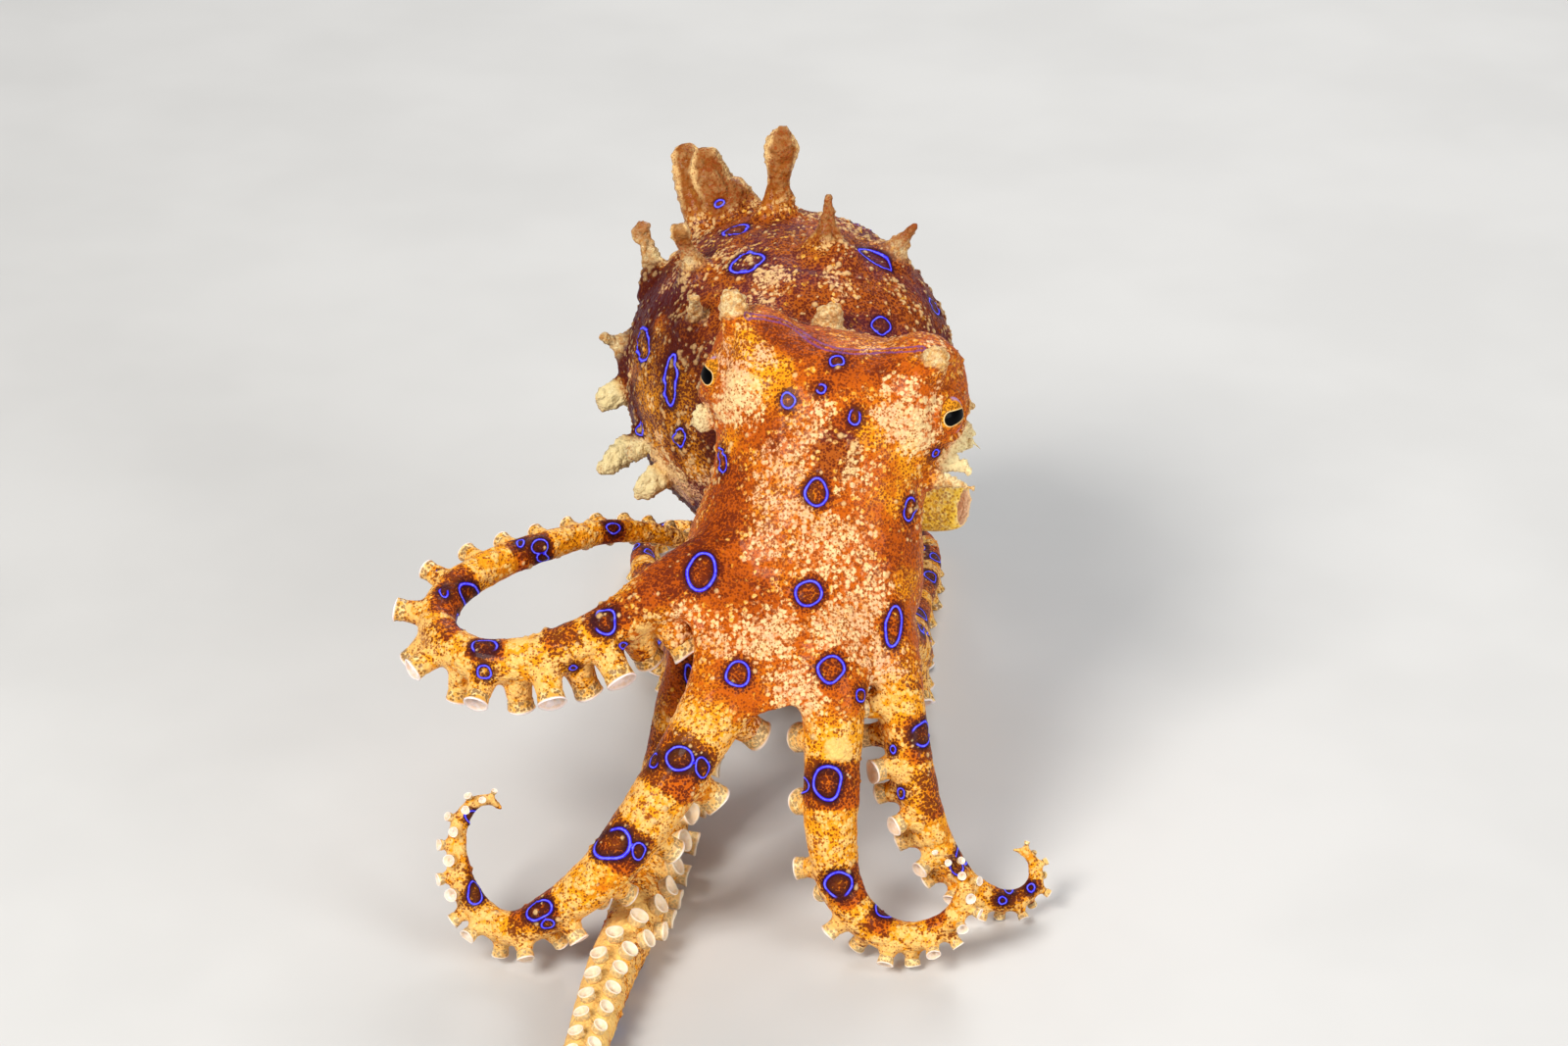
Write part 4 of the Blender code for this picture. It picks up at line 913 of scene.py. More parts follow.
ring_distance = np.full(len(skin_points), NO_RING)
ring_ink = np.ones(len(skin_points))
ring_near = np.full(len(skin_points), NO_RING)
ring_middles = []
draw = np.random.default_rng(RING_SEED)


def place_ring(middle, outward, first, second, shape, gap=None):
    """Marks one ring on the skin round a middle, with its ellipse in the first and second directions."""
    values, axes = np.linalg.eigh(shape)
    longest = 1 / math.sqrt(values[0])
    shortest = 1 / math.sqrt(values[1])
    on_an_arm = on_arm[skin_finder.find(middle)[1]] > 0.5
    longest = min(longest, shortest * (LONGEST_ARM_RING if on_an_arm else LONGEST_RING))
    shape = axes @ np.diag([longest ** -2, shortest ** -2]) @ axes.T
    line = min(max(RING_LINE_SHARE * 2 * math.sqrt(longest * shortest), RING_LINE_LEAST), RING_LINE_MOST)
    phases = draw.uniform(0, 2 * math.pi, 3)
    strengths = draw.uniform(0.4, 1.0, 3) * RING_WAVE / np.arange(1, 4) ** 0.5
    found = [i for _, i, _ in skin_finder.find_range(middle, longest + RING_REACH)]
    found = np.array([i for i in found if skin_normals[i] @ outward > -0.1])
    offset = skin_points[found] - middle
    flat = np.column_stack([offset @ first, offset @ second])
    stretch = np.linalg.norm(offset, axis=1) / (np.linalg.norm(flat, axis=1) + 1e-6)
    flat *= np.minimum(stretch, 1.35)[:, None]
    bearing = np.arctan2(flat[:, 1], flat[:, 0])
    wave = 1 + sum(s * np.sin(bearing * (k + 2) + p) for k, (s, p) in enumerate(zip(strengths, phases)))
    pull = flat @ shape
    size = np.sqrt(np.sum(flat * pull, axis=1)) + 1e-6
    distance = (size / wave - 1) * size / (np.linalg.norm(pull, axis=1) + 1e-6) / line
    ink = np.ones(len(found))
    if gap:
        away = np.abs((np.degrees(bearing) - gap[0] + 180) % 360 - 180)
        ink = ramp(away, gap[1] * 0.4, gap[1] * 0.6)
    closer = distance < ring_distance[found]
    ring_distance[found[closer]] = distance[closer]
    ring_ink[found[closer]] = ink[closer]
    ring_near[found] = np.minimum(ring_near[found], distance * line)
    ring_middles.append((middle, outward, longest))


def seen_skin(pixel):
    """The place where a pixel's sight line meets the skin, or passes closest to it, and the way out there."""
    way = sight_line(pixel)
    hit, middle, _, _ = skin_probe.ray_cast(Vector(CAMERA_PLACE), Vector(way))
    if not hit:
        aside = np.linalg.norm(np.cross(skin_points - CAMERA_PLACE, way), axis=1)
        middle = skin_points[aside.argmin()]
    near = [i for _, i, _ in skin_finder.find_range(middle, 0.9)]
    return np.array(middle), unit(skin_normals[near].sum(axis=0))


def ellipse(halves, tilt):
    """The shape of an ellipse with half its width and height given, turned by an angle."""
    turn = np.array(((math.cos(tilt), -math.sin(tilt)), (math.sin(tilt), math.cos(tilt))))
    return turn @ np.diag(np.array(halves) ** -2) @ turn.T


def seen_ring(pixel, seen, tilt=0, gap=None):
    """Marks a ring at a pixel, with the width and height that it shows to the camera."""
    middle, outward = seen_skin(pixel)
    first = square_to(outward, SIGHT_RIGHT)
    second = np.cross(outward, first)
    flat = ellipse(np.array(seen) * LINE_MIDDLE / 2, math.radians(tilt))
    onto = np.array(((first @ SIGHT_RIGHT, second @ SIGHT_RIGHT), (first @ SIGHT_UP, second @ SIGHT_UP)))
    place_ring(middle, outward, first, second, onto.T @ flat @ onto, gap)


skin_probe = object_from("skin_probe", mesh_from("skin_probe", skin_points, skin_faces))
bpy.context.view_layer.update()
for ring in FACE_RINGS + MANTLE_RINGS_SEEN + ARM_RINGS_SEEN:
    seen_ring(*ring)
far = 30.0
for share, degrees, length, width in MANTLE_RINGS_HIDDEN:
    inside = MANTLE_CENTRE + MANTLE_BACK * MANTLE_HALF_LENGTH * share
    outward = unit(mantle_point(share, math.radians(degrees), 1.0) - inside)
    _, middle, _, _ = skin_probe.ray_cast(Vector(inside + outward * far), Vector(-outward))
    first = square_to(outward, MANTLE_BACK)
    place_ring(np.array(middle), outward, first, np.cross(outward, first),
               ellipse((length / 2, width / 2), draw.uniform(-0.6, 0.6)))

seen_middles = np.array([middle for middle, _, _ in ring_middles])
for name, arm in arms.items():
    distance = ARM_RINGS_START
    flank = 1
    while distance < arm.length - ARM_RINGS_END:
        size = arm.read(arm.radii, distance)[0]
        along = unit(arm.read(arm.along, distance))
        face = unit(arm.read(arm.faces, distance))
        across = np.cross(face, along)
        for turn in (-ARM_RING_TURN, ARM_RING_TURN):
            outward = unit(-face * math.cos(turn) + across * math.sin(turn))
            middle = arm.read(arm.points, distance + flank * turn * size) + outward * size
            clear = np.linalg.norm(seen_middles - middle, axis=1).min()
            covered = in_arm[skin_finder.find(middle)[1]] > 1.5
            in_view = name in FRONT_ARMS and outward @ unit(CAMERA_PLACE - middle) > FACING_CAMERA
            if clear > size * 1.6 and not covered and not in_view:
                length = size * ARM_RING_SIZE * draw.uniform(0.8, 1.15)
                width = length * draw.uniform(0.7, 0.95)
                place_ring(middle, outward, along, np.cross(outward, along),
                           ellipse((length / 2, width / 2), 0.0))
        flank = -flank
        distance += ARM_RING_SPACING * (0.45 + 0.55 * size / THICK_ARM)

# The arms' bands: dark skin round each group of rings, with pale skin between.
BAND_HALF = 1.2
BAND_FADE = 2.5
band = np.zeros(len(skin_points))
for middle, outward, _ in ring_middles:
    _, i, distance = arm_finder.find(middle)
    if distance > arm_radii[i] * 1.7 or arm_at[i] < 11:
        continue
    size = arm_radii[i] / 2.8
    apart = np.abs(skin_at - arm_at[i]) / (0.35 + 0.65 * size)
    band = np.maximum(band, ramp(apart, BAND_FADE, BAND_HALF) * (skin_arm == arm_number[i]))
band *= on_arm

# The skin's patches: cream round the eyes, between the head's rings and down the web, bright gold between
# them, and rust along the head's top and edges. A patch: its middle's pixel, its radius in mm, its strength.
PATCHES = {
    "pale": (
        ((752, 398), 2.3, 1.0), ((742, 418), 1.7, 0.9), ((778, 366), 1.3, 0.6), ((736, 365), 1.1, 0.5),
        ((768, 428), 1.3, 0.5), ((938, 447), 1.8, 1.0), ((925, 430), 1.9, 0.9), ((905, 424), 1.1, 0.8),
        ((950, 412), 1.2, 0.8), ((908, 388), 1.0, 0.7), ((930, 398), 1.2, 0.7), ((838, 420), 1.2, 0.6),
        ((800, 470), 2.4, 0.5), ((835, 455), 2.4, 0.5), ((870, 480), 2.2, 0.5), ((780, 500), 1.9, 0.4),
        ((850, 560), 3.4, 0.6), ((885, 600), 2.6, 0.6), ((780, 560), 2.2, 0.5), ((860, 640), 3.0, 0.7),
        ((780, 640), 3.0, 0.75), ((815, 705), 2.4, 0.7), ((890, 665), 1.8, 0.6), ((745, 655), 1.6, 0.6),
        ((985, 465), 2.2, 1.0), ((984, 448), 1.6, 0.9),
        ((856, 767), 1.1, 1.0), ((730, 640), 1.8, 0.5), ((900, 690), 1.6, 0.5), ((812, 520), 1.6, 0.5),
        ((690, 232), 1.3, 0.7), ((684, 262), 1.3, 0.7), ((680, 290), 1.4, 0.7), ((672, 330), 0.9, 0.8),
        ((660, 360), 0.9, 0.8), ((642, 380), 0.9, 0.8), ((664, 410), 0.9, 0.8), ((672, 445), 1.0, 0.9),
        ((680, 468), 1.6, 1.0), ((690, 484), 1.9, 1.0), ((712, 484), 1.6, 0.9), ((957, 352), 1.2, 0.4),
        ((790, 290), 1.8, 0.5), ((850, 290), 2.0, 0.4),
        ((636, 918), 1.8, 0.6), ((620, 948), 2.0, 0.9), ((605, 978), 2.2, 1.0), ((603, 1008), 2.4, 1.0),
        ((602, 1038), 2.4, 1.0), ((600, 1062), 2.4, 1.0),
        ((530, 650), 1.6, 0.4), ((650, 650), 1.3, 0.6), ((700, 630), 1.6, 0.5),
        ((624, 402), 1.5, 1.0), ((634, 463), 2.0, 1.0), ((666, 490), 1.9, 1.0), ((662, 455), 1.5, 0.9),
        ((674, 476), 1.7, 1.0), ((694, 500), 1.8, 1.0), ((706, 500), 1.6, 0.9), ((717, 425), 1.4, 0.9),
    ),
    "gold": (
        ((788, 384), 2.0, 0.8), ((760, 350), 1.4, 0.5), ((926, 468), 1.6, 0.6), ((910, 505), 1.6, 0.45),
        ((890, 445), 1.4, 0.4), ((745, 446), 1.2, 0.5), ((925, 590), 1.6, 0.4),
        ((650, 360), 2.6, 0.8), ((660, 400), 3.2, 1.0), ((665, 430), 3.0, 1.0), ((690, 440), 2.8, 0.9),
        ((690, 400), 2.6, 0.8), ((705, 470), 2.2, 0.8), ((670, 350), 2.0, 0.6),
    ),
    "rust": (
        ((820, 348), 2.0, 0.7), ((790, 336), 1.6, 0.7), ((860, 372), 1.8, 0.6), ((900, 372), 1.6, 0.6),
        ((856, 436), 1.2, 0.7), ((784, 446), 1.4, 0.5), ((742, 500), 2.4, 0.6), ((735, 540), 2.4, 0.7),
        ((680, 590), 2.0, 0.8), ((650, 612), 1.6, 0.8), ((700, 560), 2.2, 0.8), ((770, 610), 2.0, 0.6),
        ((920, 560), 2.0, 0.5), ((740, 590), 2.2, 0.6), ((660, 640), 1.0, 0.5),
    ),
}
patches = {}
for mark, spots in PATCHES.items():
    patches[mark] = np.zeros(len(skin_points))
    for pixel, radius, strength in spots:
        middle, _ = seen_skin(pixel)
        away = np.linalg.norm(skin_points - middle, axis=1)
        patches[mark] = np.maximum(patches[mark], strength * ramp(away, radius * 1.5, radius * 0.5))

# The fold over the brow, where the mantle's edge lies on the head: a thin violet crease of two lines.
FOLD_PIXELS = ((762, 321), (800, 328), (838, 352), (870, 358), (905, 357), (940, 355))
FOLD_NEAR = 1.5
fold_pixels, _ = smooth_way(FOLD_PIXELS, 3.0)
fold = np.full(len(skin_points), FOLD_NEAR)
for pixel in fold_pixels:
    middle, _ = seen_skin(pixel)
    for _, i, distance in skin_finder.find_range(middle, FOLD_NEAR):
        fold[i] = min(fold[i], distance)
bpy.data.objects.remove(skin_probe)


class Shade:
    """An output in a material's nodes. Sums and products of it are worked out by Math nodes."""

    def __init__(self, tree, socket=None):
        self.tree = tree
        self.socket = socket

    def node(self, kind, settings, sockets, output=0):
        """Adds a node of any other type: first its settings, then a value or a link for each socket."""
        made = self.tree.nodes.new(kind)
        for name, value in settings.items():
            if name == "stops":
                for _ in value[2:]:
                    made.color_ramp.elements.new(0.5)
                for element, (place, colour) in zip(made.color_ramp.elements, value):
                    element.position = place
                    element.color = colour
            else:
                setattr(made, name, value)
        for name, value in sockets.items():
            if isinstance(value, Shade):
                self.tree.links.new(value.socket, made.inputs[name])
            else:
                made.inputs[name].default_value = value
        return Shade(self.tree, made.outputs[output])

    def math(self, operation, *values):
        return self.node("ShaderNodeMath", {"operation": operation}, dict(enumerate(values)))

    def __add__(self, other):
        return self.math("ADD", self, other)

    def __sub__(self, other):
        return self.math("SUBTRACT", self, other)

    def __rsub__(self, other):
        return self.math("SUBTRACT", other, self)

    def __mul__(self, other):
        return self.math("MULTIPLY", self, other)

    def __abs__(self):
        return self.math("ABSOLUTE", self)

    __radd__ = __add__
    __rmul__ = __mul__

    def ramp(self, low, high):
        """0 below low and 1 above high, with smooth ends; it falls where low is above high."""
        return self.node("ShaderNodeMapRange", {"interpolation_type": "SMOOTHSTEP"},
                         {"Value": self, "From Min": low, "From Max": high})

    def feed(self, shader, socket):
        self.tree.links.new(self.socket, shader.inputs[socket])

    def between(self, first, second):
        """The first colour where this is 0 and the second where it is 1."""
        return self.node("ShaderNodeMix", {"data_type": "RGBA", "clamp_factor": True},
                         {0: self, 6: first, 7: second}, 2)

    def mark(self, name):
        """What the mesh holds under a name at each point."""
        return self.node("ShaderNodeAttribute", {"attribute_type": "GEOMETRY", "attribute_name": name},
                         {}, "Fac")

    def place(self):
        return self.node("ShaderNodeTexCoord", {}, {}, "Object")

    def mottle(self, place, size, detail=3.0, rough=0.5):
        """Noise with patches of about a size in mm, as much below nought as above it."""
        return self.node("ShaderNodeTexNoise", {}, {"Vector": place, "Scale": 1 / (size * MM),
                                                    "Detail": detail, "Roughness": rough}) - 0.5

    def bump(self, height, depth, strength):
        """A normal that follows a height, with a depth in mm."""
        return self.node("ShaderNodeBump", {},
                         {"Height": height, "Distance": depth * MM, "Strength": strength})

    def grains(self, place, size, output="Distance"):
        """Cells about a size apart in mm: the distance from each cell's middle, or its own random colour."""
        return self.node("ShaderNodeTexVoronoi", {"feature": "F1"},
                         {"Vector": place, "Scale": 1 / (size * MM)}, output)

    def chance(self, place, size):
        """A number from 0 to 1 of each cell's own."""
        return self.node("ShaderNodeSeparateColor", {}, {"Color": self.grains(place, size, "Color")})


def paint(red, green, blue):
    """A colour as it shows on a screen, from 0 to 255, as the linear numbers that a shader takes."""
    shares = (np.array((red, green, blue)) / 255.0).tolist()
    return tuple(s / 12.92 if s <= 0.04045 else ((s + 0.055) / 1.055) ** 2.4 for s in shares) + (1.0,)


def surface_of(name, roughness, **sockets):
    """A new material, with its shader's plain values set, and a Shade to build its nodes with."""
    made = bpy.data.materials.new(name)
    made.use_nodes = True
    shader = made.node_tree.nodes["Principled BSDF"]
    shader.inputs["Roughness"].default_value = roughness
    for socket, value in sockets.items():
        shader.inputs[socket.replace("_", " ")].default_value = value
    return made, shader, Shade(made.node_tree)


# The skin's colours: golden to cream ground under a crowd of small dark spots that open and close, which is
# how the animal changes colour. They stand close round the rings and over the mantle and thin out where the
# skin is pale, and the pale skin is made of small granules.
GOLD = paint(244, 160, 22)
ORANGE = paint(198, 92, 8)
RED_ORANGE = paint(152, 60, 10)
GOLD_GRANULE = paint(250, 186, 52)
CREAM = paint(252, 222, 160)
PINK_CREAM = paint(244, 192, 148)
STRAW = paint(248, 202, 104)
TAN_SPOT = paint(184, 112, 52)
AMBER_SPOT = paint(158, 68, 10)
RUST = paint(98, 30, 8)
DEEP_RUST = paint(58, 14, 14)
PURPLE_BROWN = paint(84, 26, 44)
MANTLE_BROWN = paint(160, 80, 20)
MANTLE_PURPLE = paint(118, 46, 50)
# The deep brown of the painted shade on the mantle's lower sides.
PAINTED_SHADE_BROWN = paint(76, 18, 8)
GRANULE_TAN = paint(232, 190, 128)
PALE_TAN = paint(232, 190, 126)
HORN_BROWN = paint(141, 79, 28)
LOBE_CREAM = paint(240, 222, 166)
LOBE_TAN = paint(206, 154, 84)
RING_BLUE = paint(44, 30, 226)
RING_CORE = paint(112, 116, 255)
RING_HALO = paint(36, 8, 34)
OCHRE = paint(255, 206, 66)
OCHRE_PALE = paint(255, 226, 136)
LIP_LILAC = paint(240, 214, 204)
THROAT_PEACH = paint(250, 204, 160)
CREASE_VIOLET = paint(120, 66, 132)
BLACK = (0.0, 0.0, 0.0, 1.0)
# How far apart the dark spots, the pale granules, the soft lumps of the arms' skin and the funnel's spots
# stand, in mm.
SPOT_PITCH = 0.22
GRANULE_PITCH = 0.36
LUMP_PITCH = 1.1
FUNNEL_SPOT_PITCH = 0.3

# What the skin's paleness, its gold, its crowd of spots, their darkness and the relief are made up of: how
# much each is everywhere, and how much it grows with a mark on the skin, a noise, or a product of such.
# The mark for the painted shade on the mantle's sides makes the skin there less pale, with more and darker
# spots.
SKIN_MIXES = {
    "paleness": (0.14, {
        "broad": 0.9, "middling": 1.2, "fine": 0.5, "pale": 0.86, "between_bands": 0.08, "lumpy": 0.55,
        "flank": 0.2, "oral": 0.2, "mantle": -0.22, "mantle_cluster": 0.35, "gold": -0.2, "rust": -0.35,
        "banded": -0.35, "about_ring": -0.6, "dusk": -0.7}),
    "tone": (0.33, {
        "between_bands": 0.45, "gold": 0.5, "rust": -0.4, "broad": 1.1, "middling": 1.0, "fine": 0.6}),
    "crowd": (0.56, {
        "broad": 0.5, "middling": 0.9, "banded": 0.12, "about_ring": 0.3, "mantle": 0.05, "dusk": 0.3,
        "rust": 0.12, "light": -0.2, "pale": -0.06, "pale_arm": -0.36, "gold": -0.12,
        "between_bands": -0.12}),
    "spot_tone": (0.0, {
        "about_ring": 0.9, "banded": 0.5, "dusk": 0.8, "mantle": 0.35, "rust": 0.3, "middling": 0.8}),
    "relief": (0.0, {
        "spot_distance": -0.5, "granule_distance": -0.8, "fine": 1.2, "middling": 1.2, "lumpy": 1.5}),
}
MARKS = ("ring", "ink", "near", "band", "oral", "flank", "pale", "gold", "rust", "papilla", "edge", "wart",
         "mantle", "clusters", "dusk", "funnel", "lip", "throat", "arm", "crown", "fold")

skin_look, skin_shader, base = surface_of(
    "octopus_skin", 0.42, Specular_IOR_Level=0.07, Coat_Weight=0.06, Coat_Roughness=0.12, Sheen_Weight=0.06,
    Sheen_Roughness=0.3, Sheen_Tint=(0.4, 0.12, 0.7, 1.0), Emission_Strength=0.3)
place = base.place()
broad = base.mottle(place, 5.0, 2.0)
middling = base.mottle(place, 1.3, 4.0, 0.65)
fine = base.mottle(place, 0.42, 3.0, 0.65)
signs = {name: base.mark(name) for name in MARKS}
signs.update(broad=broad, middling=middling, fine=fine, spot_distance=base.grains(place, SPOT_PITCH),
             granule_distance=base.grains(place, GRANULE_PITCH))


def mix_of(name):
    """One of the skin's mixes as a sum over its signs."""
    total, weights = SKIN_MIXES[name]
    for sign, weight in weights.items():
        total = signs[sign] * weight + total
    return total


banded = (signs["band"] + middling * 1.3 - signs["flank"] * 0.45).ramp(0.3, 1.0)
between_bands = signs["arm"] * (1 - banded)
about_ring = (signs["near"] + middling * 1.1).ramp(0.85, 0.0)
signs.update(banded=banded, between_bands=between_bands, about_ring=about_ring,
             lumpy=between_bands * base.grains(place, LUMP_PITCH).ramp(0.8, 0.3),
             mantle_cluster=signs["mantle"] * signs["clusters"], pale_arm=signs["pale"] * signs["arm"])
paleness = mix_of("paleness")
granules = ((base.chance(place, GRANULE_PITCH) + paleness - 1).ramp(-0.12, 0.12)
            * signs["granule_distance"].ramp(0.8, 0.35))
solid_pale = (paleness + fine * 1.5).ramp(0.5, 1.2) * 0.82
light = granules + solid_pale - granules * solid_pale
signs["light"] = light

# The ground, from orange to gold, browner on the mantle, with the pale granules on it.
ground = mix_of("tone").ramp(0.2, 0.8).between(ORANGE, GOLD)
ground = (signs["rust"] * 0.7).between(ground, RED_ORANGE)
mantle_tone = (broad + middling * 0.6).ramp(-0.06, 0.12).between(MANTLE_BROWN, MANTLE_PURPLE)
ground = (signs["mantle"] * (0.8 - signs["gold"] * 0.55)).between(ground, mantle_tone)
cream = (broad + fine * 0.7 - signs["pale"] * 0.08).ramp(-0.1, 0.1).between(CREAM, PINK_CREAM)
cream = ((signs["arm"] + middling).ramp(0.3, 0.8) * 0.7).between(cream, STRAW)
cream = (signs["mantle"] * (0.75 - signs["pale"] * 0.6)).between(cream, GRANULE_TAN)
cream = (paleness + fine * 0.4).ramp(0.05, 0.5).between(GOLD_GRANULE, cream)
ground = (light * 0.85).between(ground, cream)

# The dark spots, from amber to a brown like rust, and the warts among them.
spots = (mix_of("crowd") * 0.9 + (base.chance(place, SPOT_PITCH) - 0.5) * 0.35
         - signs["spot_distance"]).ramp(-0.08, 0.08)
spot_tone = mix_of("spot_tone")
dark = spot_tone.ramp(-0.2, 0.35).between(AMBER_SPOT, RUST)
dark = spot_tone.ramp(0.6, 1.2).between(dark, DEEP_RUST)
dark = (light * (1 - about_ring) * 0.85).between(dark, TAN_SPOT)
dark = (signs["mantle"] * broad.ramp(-0.06, 0.1) * 0.75).between(dark, PURPLE_BROWN)
colour = (spots * 0.9).between(ground, dark)
colour = (about_ring * (0.25 + banded * 0.35)).between(colour, DEEP_RUST)
# Painted shade: the mantle's lower sides, most of all on the animal's right, darken to a deep brown, and the
# pale warts there show less.
colour = (signs["dusk"] * (0.75 + middling * 0.4)).between(colour, PAINTED_SHADE_BROWN)
colour = (signs["wart"].ramp(0.3, 0.8) * (0.8 - signs["dusk"] * 0.4)).between(colour, GRANULE_TAN)

# The horns and lobes, and the crease over the brow.
horn = (signs["papilla"] * 0.45 + signs["edge"] * 0.5 + middling * 0.7).ramp(0.36, 0.8)
lobe_tone = (0.27 + fine * 1.3 + middling - signs["pale"] * 0.5).ramp(0.0, 0.5)
papilla_colour = signs["crown"].between(lobe_tone.between(LOBE_CREAM, LOBE_TAN),
                                        horn.between(HORN_BROWN, PALE_TAN))
papilla_colour = (spots * (0.35 + signs["crown"] * 0.25)).between(papilla_colour, AMBER_SPOT)
colour = (signs["papilla"].ramp(0.08, 0.35) * 0.85).between(colour, papilla_colour)
off_fold = abs(signs["fold"] + fine * 0.3 - 0.28)
colour = (off_fold.ramp(0.14, 0.04) * 0.75).between(colour, CREASE_VIOLET)

# The rings: a bright line that glows a little, in a dark halo.
off_line = abs(signs["ring"] + fine * 0.7)
halo = off_line.ramp(4.0, 1.0) * (0.35 + signs["ink"] * 0.5)
colour = (halo * 0.9).between(colour, RING_HALO)
line = off_line.ramp(1.2, 0.8) * signs["ink"]
blue = (off_line + fine * 1.6).ramp(0.7, 0.05).between(RING_BLUE, RING_CORE)
colour = line.between(colour, blue)

# The funnel: ochre with small spots of its own, a lilac lip and a peach throat.
funnel_spots = (0.4 + fine * 0.4 - base.grains(place, FUNNEL_SPOT_PITCH)).ramp(-0.04, 0.05)
funnel_colour = (fine + middling).ramp(-0.1, 0.25).between(OCHRE, OCHRE_PALE)
funnel_colour = (funnel_spots * 0.6).between(funnel_colour, AMBER_SPOT)
funnel_colour = signs["lip"].between(funnel_colour, LIP_LILAC)
funnel_colour = signs["throat"].between(funnel_colour, THROAT_PEACH)
colour = signs["funnel"].between(colour, funnel_colour)
colour.feed(skin_shader, "Base Color")
# Painted glow: the ring lines give off a little blue light of their own, which keeps them bright in shade.
line.between(BLACK, blue).feed(skin_shader, "Emission Color")
base.bump(mix_of("relief"), 0.16, 0.8).feed(skin_shader, "Normal")
(0.45 + fine * 0.24).feed(skin_shader, "Roughness")

funnel_way = unit(funnel_line[-1] - funnel_line[-5])
past_mouth = (skin_points - funnel_line[-1]) @ funnel_way
lip = on_funnel * ramp(past_mouth, -0.6, -0.25)
throat = on_funnel * ramp(in_funnel, 0.82, 0.68)
# Painted shade on the mantle's sides, less towards its top. It is strongest on the animal's right side and
# weaker on its left, faint over the pale patches and weaker over the gold ones.
from_top = 0.25 * (from_mantle @ MANTLE_UP)
dusk = on_mantle * np.maximum(ramp(-(from_mantle @ MANTLE_LEFT) - from_top, 4.5, 9.5),
                              0.45 * ramp(from_mantle @ MANTLE_LEFT - from_top, 6.0, 11.0))
dusk *= (1 - 0.9 * patches["pale"]) * (1 - 0.6 * patches["gold"])
flank = ramp(faced, -0.35, 0.3) * on_arm * ramp(skin_at, 12.0, 16.0)
skin_marks = {
    "ring": ring_distance, "ink": ring_ink, "near": np.maximum(ring_near, ring_near * -0.6), "band": band,
    "oral": oral, "flank": flank, **patches, "papilla": papilla_share, "wart": wart, "mantle": on_mantle,
    "edge": papilla_edge * (papilla_share > 0), "clusters": clusters, "dusk": dusk, "funnel": on_funnel,
    "lip": lip, "throat": throat, "arm": on_arm, "crown": crown, "fold": fold,
}


def dressed(name, mesh, marks, look):
    """A smooth object whose mesh carries marks at its points for its material."""
    for mark, values in marks.items():
        mesh.attributes.new(mark, "FLOAT", "POINT").data.foreach_set("value", np.asarray(values, np.float32))
    mesh.shade_smooth()
    mesh.materials.append(look)
    return object_from(name, mesh)


skin_mesh = mesh_from("skin", (skin_points - MODEL_CENTRE) * MM, skin_faces)
skin = dressed("skin", skin_mesh, skin_marks, skin_look)
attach(skin, "root")
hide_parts(*[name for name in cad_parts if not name.startswith("eye")])

# The sucker cups: soft rings of muscle at the stalks' ends, with a flared, nearly clear rim round a hollow.
# They are made as one mesh, and those under the arms are pressed flat on the floor.
CUP_SIDES = 22
CUP_SEED = 5
CUP_SPOT_PITCH = 0.26
CUP_LOWEST = 0.01
# Height and half width, as shares of the arm's radius, from inside the stalk over the rim to the hollow's
# floor, with how far that place belongs to the rim and to the hollow.
CUP_PROFILE = (
    (1.3, 0.42, 0.0, 0.0), (1.5, 0.475, 0.0, 0.0), (1.62, 0.5, 0.0, 0.0), (1.74, 0.505, 0.0, 0.0),
    (1.83, 0.515, 0.05, 0.0), (1.9, 0.535, 0.4, 0.0), (1.945, 0.54, 1.0, 0.0), (1.965, 0.52, 1.0, 0.0),
    (1.95, 0.48, 0.8, 0.2), (1.9, 0.43, 0.4, 0.6), (1.85, 0.36, 0.1, 1.0), (1.82, 0.27, 0.0, 1.0),
    (1.78, 0.19, 0.0, 1.0), (1.66, 0.15, 0.0, 1.0), (1.6, 0.02, 0.0, 1.0),
)
cup_draw = np.random.default_rng(CUP_SEED)
cup_points = []
profile = np.array(CUP_PROFILE)
turn = bearings(CUP_SIDES)
for foot, lean, first, size, stretch in suckers:
    second = np.cross(first, lean)
    phase, depth = cup_draw.uniform(0, 2 * math.pi), cup_draw.uniform(0.02, 0.06)
    oval = cup_draw.uniform(0.95, 1.06)
    wide = sucker_width(size, stretch) * (1 + cup_draw.uniform(-0.04, 0.04))
    wave = 1 + profile[:, 2:3] * depth * np.sin(3 * turn + phase)[None]
    across = (profile[:, 1:2] * wave)[..., None] * (
        np.cos(turn)[None, :, None] * first * oval + np.sin(turn)[None, :, None] * second / oval) * wide
    lift = profile[:, 2:3] * depth * 0.7 * np.sin(2 * turn + phase)[None]
    rings = foot + across + ((held_out(profile[:, :1], stretch) + lift) * size)[..., None] * lean
    cup_points.append(rings.reshape(-1, 3))
cup_points = np.concatenate(cup_points)
cup_points[:, 2] = np.maximum(cup_points[:, 2], CUP_LOWEST)
cup_index = np.arange(len(cup_points)).reshape(len(suckers), len(profile), CUP_SIDES)
cup_faces = np.concatenate([walls_between(index) for index in cup_index])
cup_marks = {
    "rim": np.tile(np.repeat(profile[:, 2], CUP_SIDES), len(suckers)),
    "hollow": np.tile(np.repeat(profile[:, 3], CUP_SIDES), len(suckers)),
    "slack": np.repeat([1 - stretch for *_, stretch in suckers], len(profile) * CUP_SIDES),
}

